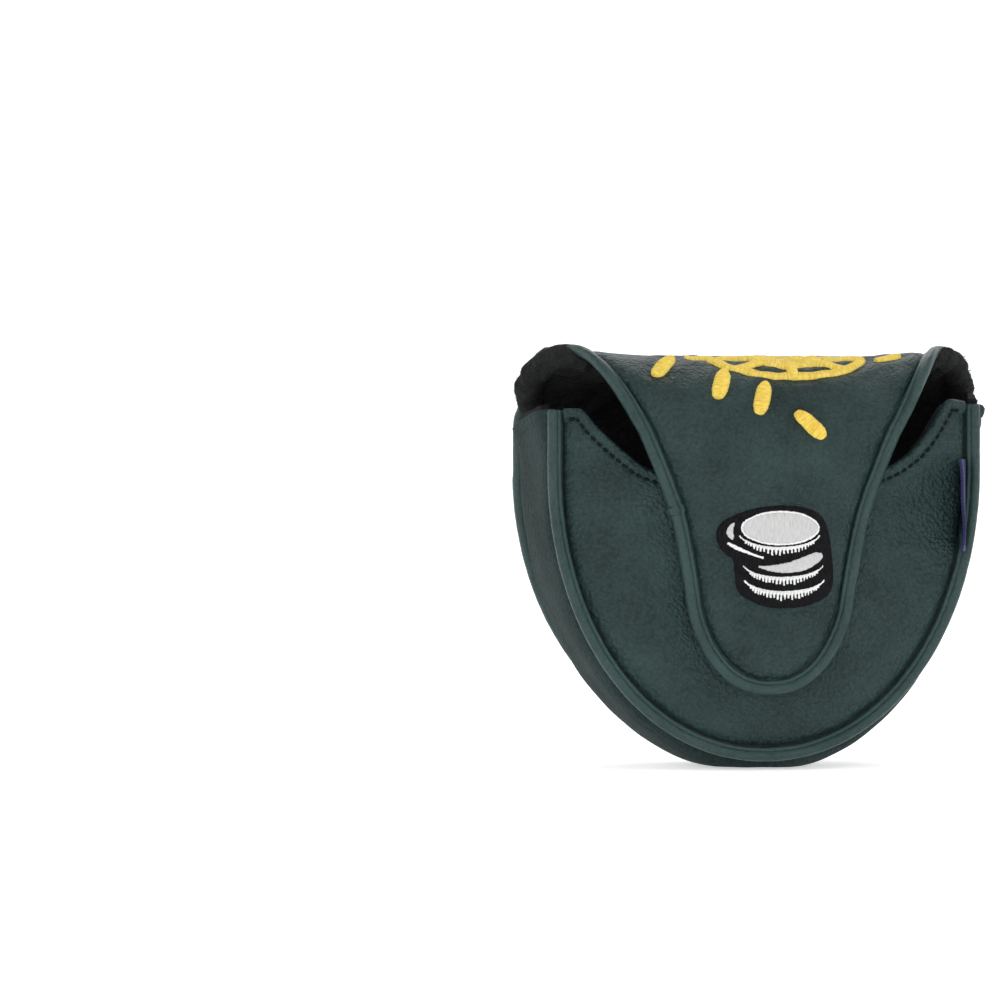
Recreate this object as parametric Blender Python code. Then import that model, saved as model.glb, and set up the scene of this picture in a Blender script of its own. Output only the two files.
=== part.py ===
"""A mallet putter head cover: a lined D-shaped pocket with a leather strip that runs up its front,
over the top and down its back as a flap with a magnetic tip.

Metres, +Z up. The cover stands on the bottom of its gusset. The front panel faces -Y and the flap
faces +Y. The origin is under the middle of the cover, on the surface that it stands on.
"""

import math

import bmesh
import bpy
from mathutils import Matrix, Vector

# Driving dimensions
FRONT_SEAM_Y = -0.0232  # outer face of the front panel at its edge
BACK_SEAM_Y = 0.0168  # outer face of the back panel at its edge
MIDDLE_Z = 0.080  # below this height both panels round off into a D
BEND_Z = 0.091  # above this height the strip bends over the top
TOP_Z = 0.1095  # the strip's top, between the ears
EAR_Z = 0.1124  # the strip's top at its edges
EAR_SHARPNESS = 6  # how late the strip rises into its ears
FLAP_END_Z = 0.0243  # the lowest edge of the flap panel
D_ROUNDNESS = 2.05  # exponent of the superellipse under the panels' straight sides
TIP_ROUNDNESS = 2.4
TIP_TAPER = 0.19  # how fast the flap still narrows where its tip starts
TIP_START_Z = 0.0459  # where the flap's sides start to round into its tip

FRONT_HALF_WIDTH = 0.0589
FRONT_BOTTOM_Z = 0.0073
FRONT_CROWN = 0.0045
BACK_HALF_WIDTH = 0.0543
BACK_BOTTOM_Z = 0.0062
BACK_CROWN = 0.0040
FLAP_CROWN = 0.0010
FLAP_RISE = 0.0049  # from the back panel's outer face to the flap's
SHOULDER_Z = 0.0965  # the back panel's top beside its scoop
SCOOP_Z = 0.0785  # the back panel's top in the middle of its scoop
SCOOP_FLOOR = 0.027  # half the width of the scoop's level floor
SCOOP_MOUTH = 0.052

# The strip's half width along its run, which is the height up the front, then along the bend, then
# down the flap.
NOMINAL_BEND = 0.0222
BEND_RUN = math.pi * NOMINAL_BEND
STRIP_EDGE = (
    (BEND_Z - 0.011, FRONT_HALF_WIDTH),
    (BEND_Z, FRONT_HALF_WIDTH),
    (BEND_Z + 0.0161, 0.0580),
    (BEND_Z + 0.0284, 0.0529),
    (BEND_Z + 0.0346, 0.0475),
    (BEND_Z + 0.0491, 0.0410),
    (BEND_Z + 0.0630, 0.0348),
    (BEND_Z + 0.0691, 0.0320),
    (BEND_Z + 0.0785, 0.0280),
    (BEND_Z + 0.0902, 0.0236),
    (BEND_Z + 0.0993, 0.0213),
    (BEND_Z + BEND_RUN + BEND_Z - TIP_START_Z, 0.0186),
)

# Layers, as depths under the outer face of a panel
LEATHER = 0.0012
GAP = 0.0003
PAD = (0.0015, 0.0035)
LINING = (0.0040, 0.0066)
FLAP_PAD = (0.0015, 0.0029)
FLAP_LINING = (0.0032, 0.0044)
LINING_INSET = 0.0005
EAR_SPREAD = 0.0030  # how far the front lining's pile bulges out past the leather at each ear
EAR_SPREAD_Z = (0.0956, 0.0995)  # where it starts to and where it has

PIPING_R = 0.0019
PIPING_WALL = 0.0006
CORE_R = 0.0008
PIPING_DEPTH = 0.0012
FLAP_PIPING_DEPTH = 0.0016
PIPING_CLEARANCE = 0.0004
PIPING_TRIM = 0.0003  # more gap than the panels' at a fold

# The gusset's sections from front to back: y, half width, bottom, share of the flare. A bottom under
# the floor is cut off as the flat face that the cover stands on.
GUSSET = (
    (-0.0190, 0.0612, 0.0046, 0.3),
    (-0.0159, 0.0625, 0.0006, 0.8),
    (-0.0114, 0.0629, -0.0016, 1.0),
    (0.0061, 0.0606, -0.0016, 1.0),
    (0.0109, 0.0592, 0.0004, 0.8),
    (0.0132, 0.0570, 0.0035, 0.3),
)
GUSSET_TOP_Z = 0.095
GUSSET_FLARE = 0.0022  # how far the gusset's top corners splay out
GUSSET_LINING_TOP_Z = 0.0955

BRIDGE_FOLD = math.radians(45)  # how far along the bend each fold is
FLAP_FOLD = math.radians(100)
FOLD_GAP = math.radians(0.5)
FOLD_LIFT = 0.0018  # of the fold's axis above the piping's line

MAGNET_Z = 0.040
MAGNET_R = 0.007
MAGNET_HOLE_R = 0.0074
THREAD_R = 0.00035
THREAD_INSET = 0.0024

TAG_Z = (0.058, 0.0825)
TAG_ROOT = (-0.0546, 0.0177)  # x, y
TAG_TIP = (-0.0549, 0.0279)
TAG_THICKNESS = 0.0010

THREAD_HEIGHT = 0.0008  # of embroidery over the leather
STROKE = 0.0014  # half the width of an embroidered line
RAY = 0.0021

COLUMNS = (-1, -0.87, -0.58, -0.2, 0.2, 0.58, 0.87, 1)

MATERIALS = {  # colour, roughness, metallic
    "green_leather": ((0.040, 0.070, 0.064), 0.42, 0.0),
    "green_piping": ((0.052, 0.092, 0.085), 0.38, 0.0),
    "black_plush": ((0.012, 0.012, 0.013), 0.95, 0.0),
    "foam": ((0.55, 0.54, 0.50), 0.9, 0.0),
    "cord": ((0.75, 0.74, 0.70), 0.8, 0.0),
    "magnet_steel": ((0.55, 0.55, 0.57), 0.3, 1.0),
    "green_thread": ((0.022, 0.046, 0.042), 0.6, 0.0),
    "navy_tag": ((0.028, 0.036, 0.135), 0.7, 0.0),
    "black_thread": ((0.010, 0.010, 0.011), 0.7, 0.0),
    "blue_thread": ((0.028, 0.171, 0.760), 0.55, 0.0),
    "red_thread": ((0.640, 0.020, 0.022), 0.55, 0.0),
    "green_bright_thread": ((0.262, 0.578, 0.138), 0.55, 0.0),
    "yellow_thread": ((0.807, 0.610, 0.100), 0.55, 0.0),
    "grey_thread": ((0.600, 0.604, 0.596), 0.55, 0.0),
}


def clear_scene():
    for obj in list(bpy.data.objects):
        bpy.data.objects.remove(obj, do_unlink=True)


def make_material(name):
    colour, roughness, metallic = MATERIALS[name]
    material = bpy.data.materials.new(name)
    material.use_nodes = True
    shader = material.node_tree.nodes["Principled BSDF"]
    shader.inputs["Base Color"].default_value = (*colour, 1)
    shader.inputs["Roughness"].default_value = roughness
    shader.inputs["Metallic"].default_value = metallic
    return material


def material_of(name):
    return bpy.data.materials.get(name) or make_material(name)


def make_group(name, pivot):
    """An empty at a joint, which holds the pieces that move together."""
    empty = bpy.data.objects.new(name, None)
    empty.location = pivot
    bpy.context.scene.collection.objects.link(empty)
    return empty


def add_piece(name, data, material, group):
    """Links an object whose data is in world space, and parents it to its group's pivot."""
    obj = bpy.data.objects.new(name, data)
    data.materials.append(material_of(material))
    bpy.context.scene.collection.objects.link(obj)
    obj.parent = group
    obj.matrix_parent_inverse = Matrix.Translation(-group.location)
    return obj


# Shapes


def smooth_step(value):
    value = min(max(value, 0.0), 1.0)
    return value * value * (3 - 2 * value)


def through_points(table, x):
    """A smooth curve through a table of (x, y), with each point's slope taken from its neighbours."""
    last = len(table) - 1
    i = max(0, min(last - 1, sum(1 for row in table if row[0] <= x) - 1))

    def slope(k):
        before, after = table[max(k - 1, 0)], table[min(k + 1, last)]
        return (after[1] - before[1]) / (after[0] - before[0])

    (x0, y0), (x1, y1) = table[i], table[i + 1]
    span = x1 - x0
    t = (x - x0) / span
    rise = (2 * t**3 - 3 * t**2 + 1) * y0 + (3 * t**2 - 2 * t**3) * y1
    return rise + span * ((t**3 - 2 * t**2 + t) * slope(i) + (t**3 - t**2) * slope(i + 1))


def d_drop(z, bottom):
    return min(max((MIDDLE_Z - z) / (MIDDLE_Z - bottom), 0.0), 1.0)


def d_half_width(z, half_width, bottom):
    return half_width * (1 - d_drop(z, bottom) ** D_ROUNDNESS) ** (1 / D_ROUNDNESS)


def d_point(angle, half_width, bottom):
    """(x, z) on a D's round end, from -90 degrees at its left side to 90 at its right."""
    power = 2 / D_ROUNDNESS
    x = math.copysign(half_width * abs(math.sin(angle)) ** power, angle)
    return x, MIDDLE_Z - (MIDDLE_Z - bottom) * abs(math.cos(angle)) ** power


def back_y(x, z):
    """The back panel's outer face."""
    half_width = d_half_width(z, BACK_HALF_WIDTH, BACK_BOTTOM_Z)
    across = min(abs(x) / max(half_width, 1e-6), 1.0)
    return BACK_SEAM_Y + BACK_CROWN * (1 - across**2) * (1 - d_drop(z, BACK_BOTTOM_Z) ** 2)


def front_y(u, z):
    return FRONT_SEAM_Y - FRONT_CROWN * (1 - u * u) * (1 - d_drop(z, FRONT_BOTTOM_Z) ** 2)


def flap_y(x, z):
    across = min(abs(x) / strip_half_width(run_of_flap(z)), 1.0)
    return back_y(x, z) + FLAP_RISE + FLAP_CROWN * (1 - across * across)


def strip_point(run, u, half_width):
    """A point on the strip's outer face, u of the way from its middle to its edge."""
    x = u * half_width
    if run <= BEND_Z:
        return Vector((x, front_y(u, run), run))
    if run >= BEND_Z + BEND_RUN:
        z = 2 * BEND_Z + BEND_RUN - run
        return Vector((x, flap_y(x, z), z))
    angle = (run - BEND_Z) / NOMINAL_BEND
    start, end = front_y(u, BEND_Z), flap_y(x, BEND_Z)
    rise = TOP_Z - BEND_Z + (EAR_Z - TOP_Z) * abs(u) ** EAR_SHARPNESS
    y = (start + end) / 2 - (end - start) / 2 * math.cos(angle)
    return Vector((x, y, BEND_Z + rise * math.sin(angle)))


def strip_half_width(run):
    return through_points(STRIP_EDGE, min(run, STRIP_EDGE[-1][0]))


def bend_run(angle):
    return BEND_Z + NOMINAL_BEND * angle


def run_of_flap(z):
    return 2 * BEND_Z + BEND_RUN - z


def steps(start, end, count):
    return [start + (end - start) * i / count for i in range(count + 1)]


def front_rows(end):
    """(run, half width) of the strip from the bottom of the D to end."""
    rows = []
    for degrees in (6, 17, 28, 39, 50, 62, 75):
        x, z = d_point(math.radians(degrees), FRONT_HALF_WIDTH, FRONT_BOTTOM_Z)
        rows.append((z, x))
    rows += [(run, strip_half_width(run)) for run in (MIDDLE_Z, BEND_Z)]
    return rows + [(run, strip_half_width(run)) for run in steps(BEND_Z, end, 4)[1:]]


def bridge_rows(start, end):
    return [(run, strip_half_width(run)) for run in steps(start, end, 6)]


def tip_point(angle):
    """(x, z) on the flap's round tip, from -90 degrees at one side to 90 at the other."""
    power = 2 / TIP_ROUNDNESS
    drop = (TIP_START_Z - FLAP_END_Z) * abs(math.cos(angle)) ** power
    half_width = STRIP_EDGE[-1][1] - TIP_TAPER * drop
    x = math.copysign(half_width * abs(math.sin(angle)) ** power, angle)
    return x, TIP_START_Z - drop


def flap_rows(start):
    rows = [(run, strip_half_width(run)) for run in steps(start, bend_run(math.pi), 6)]
    for z in (0.083, 0.074, 0.065, 0.056, TIP_START_Z):
        rows.append((run_of_flap(z), strip_half_width(run_of_flap(z))))
    for degrees in (70, 52, 35, 19, 6):
        x, z = tip_point(math.radians(degrees))
        rows.append((run_of_flap(z), x))
    return rows


def strip_grid(rows, inset=0.0):
    return [
        [strip_sample(run, u, max(half - inset, 0.001)) for u in COLUMNS]
        for run, half in rows
    ]


def ear_spread(run):
    """Extra half width of the lining, which dies out at the top of the bend."""
    low, high = EAR_SPREAD_Z
    return EAR_SPREAD * smooth_step((run - low) / (high - low)) * (
        1 - smooth_step((run - bend_run(BRIDGE_FOLD)) / (NOMINAL_BEND * math.pi / 4))
    )


def spread_rows(rows):
    return [(run, half + ear_spread(run)) for run, half in rows]


def strip_sample(run, u, half_width):
    """A point on the strip's outer face with its normal."""
    step = 1e-4
    along = strip_point(run + step, u, half_width) - strip_point(run - step, u, half_width)
    across = strip_point(run, u + step, half_width) - strip_point(run, u - step, half_width)
    return strip_point(run, u, half_width), across.cross(along).normalized()


def scoop_top(x):
    rise = smooth_step((abs(x) - SCOOP_FLOOR) / (SCOOP_MOUTH - SCOOP_FLOOR))
    return SCOOP_Z + (SHOULDER_Z - SCOOP_Z) * rise


def back_grid(inset=0.0, lower=0.0):
    """The back panel, whose rows bend down into the scoop at the top."""
    grid = []
    for degrees in (7, 18, 29, 40, 51, 62, 73, 84):
        x, z = d_point(math.radians(degrees), BACK_HALF_WIDTH, BACK_BOTTOM_Z)
        grid.append(back_row(z, x - inset, lower))
    for z in steps(MIDDLE_Z, SHOULDER_Z, 3):
        grid.append(back_row(z, BACK_HALF_WIDTH - inset, lower))
    return grid


def back_row(side_z, half_width, lower):
    share = (side_z - BACK_BOTTOM_Z) / (SHOULDER_Z - BACK_BOTTOM_Z)
    row = []
    for u in COLUMNS:
        x = u * half_width
        top = scoop_top(u * BACK_HALF_WIDTH) - lower
        z = max(BACK_BOTTOM_Z + share * (top - BACK_BOTTOM_Z), BACK_BOTTOM_Z)
        normal = surface_normal(back_surface, -x, z)
        row.append((Vector((x, back_y(x, z), z)), normal))
    return row[::-1]


def gusset_grid(y_values, top_z):
    """The band between the panels, as one row of points for each place along its depth."""
    grid = []
    for y in y_values:
        heights = steps(top_z, MIDDLE_Z, 2)
        row = [gusset_side(-1, y, z) for z in heights]
        row += [gusset_round(math.radians(degrees), y) for degrees in steps(-84, 84, 20)]
        row += [gusset_side(1, y, z) for z in reversed(heights)]
        grid.append(row[::-1])
    return grid


def gusset_outline(y):
    """(half width, bottom, share of the flare) of the gusset's section at y."""
    return tuple(through_points([(row[0], row[k]) for row in GUSSET], y) for k in (1, 2, 3))


def gusset_side(side, y, z):
    half_width, _, flare = gusset_outline(y)
    splay = GUSSET_FLARE * flare * ((z - MIDDLE_Z) / (GUSSET_TOP_Z - MIDDLE_Z)) ** 2
    return Vector((side * (half_width + splay), y, z)), Vector((side, 0, 0))


def gusset_round(angle, y):
    half_width, bottom, _ = gusset_outline(y)
    x, z = d_point(angle, half_width, bottom)
    x_before, z_before = d_point(angle - 1e-3, half_width, bottom)
    x_after, z_after = d_point(angle + 1e-3, half_width, bottom)
    normal = Vector((z_after - z_before, 0, x_before - x_after)).normalized()
    return Vector((x, y, max(z, 0.0))), normal


# Builders


def add_sheet(name, grid, layer, material, group):
    """A layer of the cover: a closed sheet from one depth to another under the grid."""
    rows, columns = len(grid), len(grid[0])
    mesh = bpy.data.meshes.new(name)
    bm = bmesh.new()
    outer, inner = (
        [[bm.verts.new(point - normal * depth) for point, normal in row] for row in grid]
        for depth in layer
    )
    for i in range(rows - 1):
        for j in range(columns - 1):
            cell = ((i, j), (i, j + 1), (i + 1, j + 1), (i + 1, j))
            bm.faces.new([outer[a][b] for a, b in cell])
            bm.faces.new([inner[a][b] for a, b in reversed(cell)])
    rim = [(0, j) for j in range(columns)] + [(i, columns - 1) for i in range(1, rows)]
    rim += [(rows - 1, j) for j in range(columns - 2, -1, -1)]
    rim += [(i, 0) for i in range(rows - 2, 0, -1)]
    for (a, b), (c, d) in zip(rim, rim[1:] + rim[:1]):
        bm.faces.new((outer[c][d], outer[a][b], inner[a][b], inner[c][d]))
    bm.to_mesh(mesh)
    bm.free()
    obj = add_piece(name, mesh, material, group)
    mesh.shade_smooth()
    mesh.set_sharp_from_angle(angle=math.radians(40))
    return obj


def add_tube(name, points, radius, material, group, sides=2, wall=None):
    """A round cord along points, or with a wall the sleeve round it."""
    curve = bpy.data.curves.new(name, "CURVE")
    curve.dimensions = "3D"
    curve.bevel_depth = radius
    curve.bevel_resolution = sides
    curve.use_fill_caps = wall is None
    spline = curve.splines.new("POLY")
    spline.points.add(len(points) - 1)
    for point, target in zip(spline.points, points):
        point.co = (*target, 1)
    obj = add_piece(name, curve, material, group)
    if wall is not None:
        sleeve = obj.modifiers.new("wall", "SOLIDIFY")
        sleeve.thickness = wall
        sleeve.offset = -1
    return obj


def surface_normal(surface, a, b, step=1e-4):
    along = surface(a + step, b) - surface(a - step, b)
    across = surface(a, b + step) - surface(a, b - step)
    return along.cross(across).normalized()


def edge_path(rows, side, depth):
    """The piping's centre beside one edge of the strip."""
    edge = [strip_point(run, side, half) for run, half in rows]
    inner = [strip_point(run, side * 0.97, half) for run, half in rows]
    path = []
    for i, point in enumerate(edge):
        tangent = edge[min(i + 1, len(edge) - 1)] - edge[max(i - 1, 0)]
        outward = point - inner[i]
        outward -= outward.project(tangent)
        outward.normalize()
        normal = outward.cross(tangent).normalized() * side
        path.append(point + outward * (PIPING_R + PIPING_CLEARANCE) - normal * depth)
    return path


def front_piping_path(end):
    """Up from the bottom of the D on both sides, as one path from the left fold to the right."""
    side_rows = [row for row in front_rows(end - PIPING_TRIM) if row[0] >= MIDDLE_Z]
    reach = PIPING_R + PIPING_CLEARANCE
    bottom = []
    for degrees in steps(-84, 84, 22):
        x, z = d_point(
            math.radians(degrees), FRONT_HALF_WIDTH + reach, FRONT_BOTTOM_Z - reach
        )
        bottom.append(Vector((x, FRONT_SEAM_Y + PIPING_DEPTH, z)))
    left = edge_path(side_rows, -1, PIPING_DEPTH)
    right = edge_path(side_rows, 1, PIPING_DEPTH)
    return left[::-1] + bottom + right


def back_piping_path():
    reach = PIPING_R + PIPING_CLEARANCE
    y = BACK_SEAM_Y - PIPING_DEPTH
    half_width = BACK_HALF_WIDTH + reach
    path = [Vector((-half_width, y, z)) for z in (GUSSET_TOP_Z, 0.0875)]
    for degrees in steps(-90, 90, 24):
        x, z = d_point(math.radians(degrees), half_width, BACK_BOTTOM_Z - reach)
        path.append(Vector((x, y, z)))
    return path + [Vector((half_width, y, z)) for z in (0.0875, GUSSET_TOP_Z)]


def flap_piping_path(start):
    rows = flap_rows(start + PIPING_TRIM)
    side_rows = [row for row in rows if row[0] <= run_of_flap(TIP_START_Z)]
    reach = PIPING_R + PIPING_CLEARANCE
    tip = []
    for degrees in steps(-72, 72, 14):
        angle = math.radians(degrees)
        x, z = tip_point(angle)
        x_after, z_after = tip_point(angle + 1e-3)
        outward = Vector((z_after - z, x - x_after)).normalized()
        x += reach * outward.x
        z += reach * outward.y
        y = flap_y(x, z) - FLAP_PIPING_DEPTH
        tip.append(Vector((x, y, z)))
    left = edge_path(side_rows, -1, FLAP_PIPING_DEPTH)
    right = edge_path(side_rows, 1, FLAP_PIPING_DEPTH)
    return left + tip + right[::-1]


def add_piping(name, path, group):
    """A leather sleeve with a cord inside it."""
    add_tube(name, path, PIPING_R, "green_piping", group, wall=PIPING_WALL)
    add_tube(name + "_core", path, CORE_R, "cord", group, sides=0)


def disc_on(surface, a, b, depth, radius, thickness, name, segments=20):
    """A disc's mesh, flat against a surface at a depth under it."""
    centre, normal = surface(a, b), surface_normal(surface, a, b)
    mesh = bpy.data.meshes.new(name)
    bm = bmesh.new()
    place = Matrix.Translation(centre - normal * depth) @ normal.to_track_quat(
        "Z", "Y"
    ).to_matrix().to_4x4()
    bmesh.ops.create_cone(
        bm,
        cap_ends=True,
        segments=segments,
        radius1=radius,
        radius2=radius,
        depth=thickness,
        matrix=place,
    )
    bm.to_mesh(mesh)
    bm.free()
    return mesh


def cut_hole(obj, mesh, group):
    cutter = bpy.data.objects.new(obj.name + "_cutter", mesh)
    bpy.context.scene.collection.objects.link(cutter)
    cutter.parent = group
    cutter.matrix_parent_inverse = Matrix.Translation(-group.location)
    cutter.hide_render = True
    cutter.display_type = "WIRE"
    hole = obj.modifiers.new("magnet_hole", "BOOLEAN")
    hole.object = cutter
    hole.operation = "DIFFERENCE"
    hole.solver = "EXACT"


def stroke(points, half_width, taper=(1.0, 1.0), count=8):
    """(a, b, half width) along a smooth line through points, with round ends unless it tapers."""
    knots = list(range(len(points)))
    line = []
    for t in steps(0, knots[-1], count):
        a, b = (
            through_points([(k, points[k][axis]) for k in knots], t) for axis in (0, 1)
        )
        share = t / knots[-1]
        line.append((a, b, half_width * (taper[0] + (taper[1] - taper[0]) * share)))
    return line


def disc(centre, half_length, half_width, angle=0.0, count=8, roundness=2):
    """A superellipse, as the same kind of line."""
    line = []
    for turn in steps(-80, 80, count):
        along = half_length * math.sin(math.radians(turn))
        width = half_width * (1 - abs(along / half_length) ** roundness) ** (1 / roundness)
        a = centre[0] + along * math.cos(angle)
        line.append((a, centre[1] + along * math.sin(angle), width))
    return line


def ring(centre, radii, half_width, start=0.0, end=360.0, count=12):
    """A ring or a part of one."""
    line = []
    for degrees in steps(start, end, count):
        angle = math.radians(degrees)
        a = centre[0] + radii[0] * math.cos(angle)
        line.append((a, centre[1] + radii[1] * math.sin(angle), half_width))
    return line


def ribbon_mesh(name, surface, line, lift):
    """A raised ribbon along a line on a surface of two coordinates."""
    mesh = bpy.data.meshes.new(name)
    bm = bmesh.new()
    across = 4 if max(row[2] for row in line) > 0.003 else 1
    turns = steps(-1, 1, across)
    section = [(turn, 0) for turn in turns] + [(turn, 1) for turn in reversed(turns)]
    closed = math.dist(line[0][:2], line[-1][:2]) < 1e-6
    if closed:
        line = line[:-1]
    last = len(line) - 1
    rings = []
    for i, (a, b, half_width) in enumerate(line):
        before, after = line[max(i - 1, 0)], line[min(i + 1, last)]
        if closed:
            before, after = line[i - 1], line[(i + 1) % (last + 1)]
        along = Vector((after[0] - before[0], after[1] - before[1])).normalized()
        side = Vector((-along.y, along.x)) * half_width
        corners = []
        for turn, top in section:
            place = (a + turn * side.x, b + turn * side.y)
            height = GAP + lift + top * THREAD_HEIGHT
            normal = surface_normal(surface, *place)
            corners.append(bm.verts.new(surface(*place) + normal * height))
        rings.append(corners)
    count = len(section)
    following = rings[1:] + rings[:1] if closed else rings[1:]
    for low, high in zip(rings, following):
        for i in range(count):
            j = (i + 1) % count
            bm.faces.new((low[i], low[j], high[j], high[i]))
    for end in () if closed else (rings[0], rings[-1]):
        for i in range(across):
            j = count - 1 - i
            bm.faces.new((end[i], end[i + 1], end[j - 1], end[j]))
    bmesh.ops.recalc_face_normals(bm, faces=bm.faces)
    bm.to_mesh(mesh)
    bm.free()
    return mesh


def add_embroidery(name, surface, lines, material, group, lift=0.0):
    """Thread stitched onto the leather: its lines joined into one raised body."""
    obj = add_piece(name, ribbon_mesh(name, surface, lines[0], lift), material, group)
    for i, line in enumerate(lines[1:], 2):
        mesh = ribbon_mesh(f"{name}_{i}", surface, line, lift)
        helper = bpy.data.objects.new(f"{name}_{i}", mesh)
        bpy.context.scene.collection.objects.link(helper)
        helper.parent = group
        helper.matrix_parent_inverse = Matrix.Translation(-group.location)
        helper.hide_render = True
        helper.display_type = "WIRE"
        join = obj.modifiers.new(f"line_{i}", "BOOLEAN")
        join.object = helper
        join.operation = "UNION"
        join.solver = "EXACT"
    return obj


def front_surface(x, z):
    half_width = d_half_width(z, FRONT_HALF_WIDTH, FRONT_BOTTOM_Z)
    return Vector((x, front_y(x / half_width, z), z))


def top_surface(x, run):
    half_width = strip_half_width(run)
    return strip_point(run, x / half_width, half_width)


def flap_surface(x, z):
    half_width = strip_half_width(run_of_flap(z))
    return strip_point(run_of_flap(z), -x / half_width, half_width)


def back_surface(x, z):
    return Vector((-x, back_y(-x, z), z))


def add_topstitch(name, side, group):
    """The thread that holds down a shoulder's folded edge, as far as the flap's piping."""
    path = []
    for share in steps(0, 1, 12):
        x = 0.0512 - (0.0512 - 0.0375) * share
        z = scoop_top(x) - THREAD_INSET * (1 + 0.35 * math.sin(math.pi * share))
        lift = THREAD_R + GAP
        path.append(Vector((side * x, back_y(x, z) + lift, z)))
    add_tube(name, path, THREAD_R, "green_thread", group, sides=1)


def add_tag(group):
    """A folded woven label that stands out of the back seam."""
    root, tip = Vector((*TAG_ROOT, 0)), Vector((*TAG_TIP, 0))
    side = (tip - root).cross(Vector((0, 0, 1))).normalized() * TAG_THICKNESS / 2
    mesh = bpy.data.meshes.new("side_tag")
    bm = bmesh.new()
    outline = [root + side, tip + side, tip - side, root - side]
    face = bm.faces.new([bm.verts.new(p + Vector((0, 0, TAG_Z[0]))) for p in outline])
    raised = bmesh.ops.extrude_face_region(bm, geom=[face])["geom"]
    tops = [item for item in raised if isinstance(item, bmesh.types.BMVert)]
    bmesh.ops.translate(bm, verts=tops, vec=(0, 0, TAG_Z[1] - TAG_Z[0]))
    bmesh.ops.recalc_face_normals(bm, faces=bm.faces)
    bm.to_mesh(mesh)
    bm.free()
    obj = add_piece("side_tag", mesh, "navy_tag", group)
    folded = obj.modifiers.new("folded_edge", "BEVEL")
    folded.width = 0.0003
    folded.segments = 2


# The pieces, body by body


def fold_pivot(angle):
    """A fold's axis: on the strip's edge and clear above its piping, so that the pieces part."""
    run = bend_run(angle)
    point = strip_point(run, 1, strip_half_width(run))
    outward = Vector((0, -math.cos(angle), math.sin(angle)))
    pivot = point + outward * FOLD_LIFT
    return Vector((0, pivot.y, pivot.z))


def build_pocket(group):
    end = bend_run(BRIDGE_FOLD - FOLD_GAP)
    rows = front_rows(end)
    add_sheet("front_panel", strip_grid(rows), (0, LEATHER), "green_leather", group)
    add_sheet("front_pad", strip_grid(rows, LINING_INSET), PAD, "foam", group)
    grid = strip_grid(spread_rows(rows), LINING_INSET)
    add_sheet("front_lining", grid, LINING, "black_plush", group)
    add_piping("front_piping", front_piping_path(end), group)

    stations = steps(GUSSET[0][0], GUSSET[2][0], 4) + steps(-0.002, GUSSET[-1][0], 6)
    grid = gusset_grid(stations, GUSSET_TOP_Z)
    add_sheet("gusset", grid, (0, LEATHER), "green_leather", group)
    front_end, back_end = FRONT_SEAM_Y + LINING[1] + 3 * GAP, BACK_SEAM_Y - LINING[1] - GAP
    grid = gusset_grid(steps(front_end, back_end, 6), GUSSET_LINING_TOP_Z)
    lining = (LEATHER + 2 * GAP, LEATHER + 2 * GAP + LINING[1] - LINING[0])
    add_sheet("gusset_lining", grid, lining, "black_plush", group)

    add_sheet("back_panel", back_grid(), (0, LEATHER), "green_leather", group)
    pad = add_sheet("back_pad", back_grid(LINING_INSET, 0.002), PAD, "foam", group)
    add_sheet("back_lining", back_grid(LINING_INSET), LINING, "black_plush", group)
    add_piping("back_piping", back_piping_path(), group)
    depth = sum(PAD) / 2
    magnet = disc_on(back_surface, 0, MAGNET_Z, depth, MAGNET_R, 0.0016, "pocket_magnet")
    add_piece("pocket_magnet", magnet, "magnet_steel", group)
    hole = disc_on(back_surface, 0, MAGNET_Z, depth, MAGNET_HOLE_R, 0.005, "pocket_hole")
    cut_hole(pad, hole, group)

    add_topstitch("topstitch_left", 1, group)
    add_topstitch("topstitch_right", -1, group)
    add_tag(group)
    build_front_embroidery(group)


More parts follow.
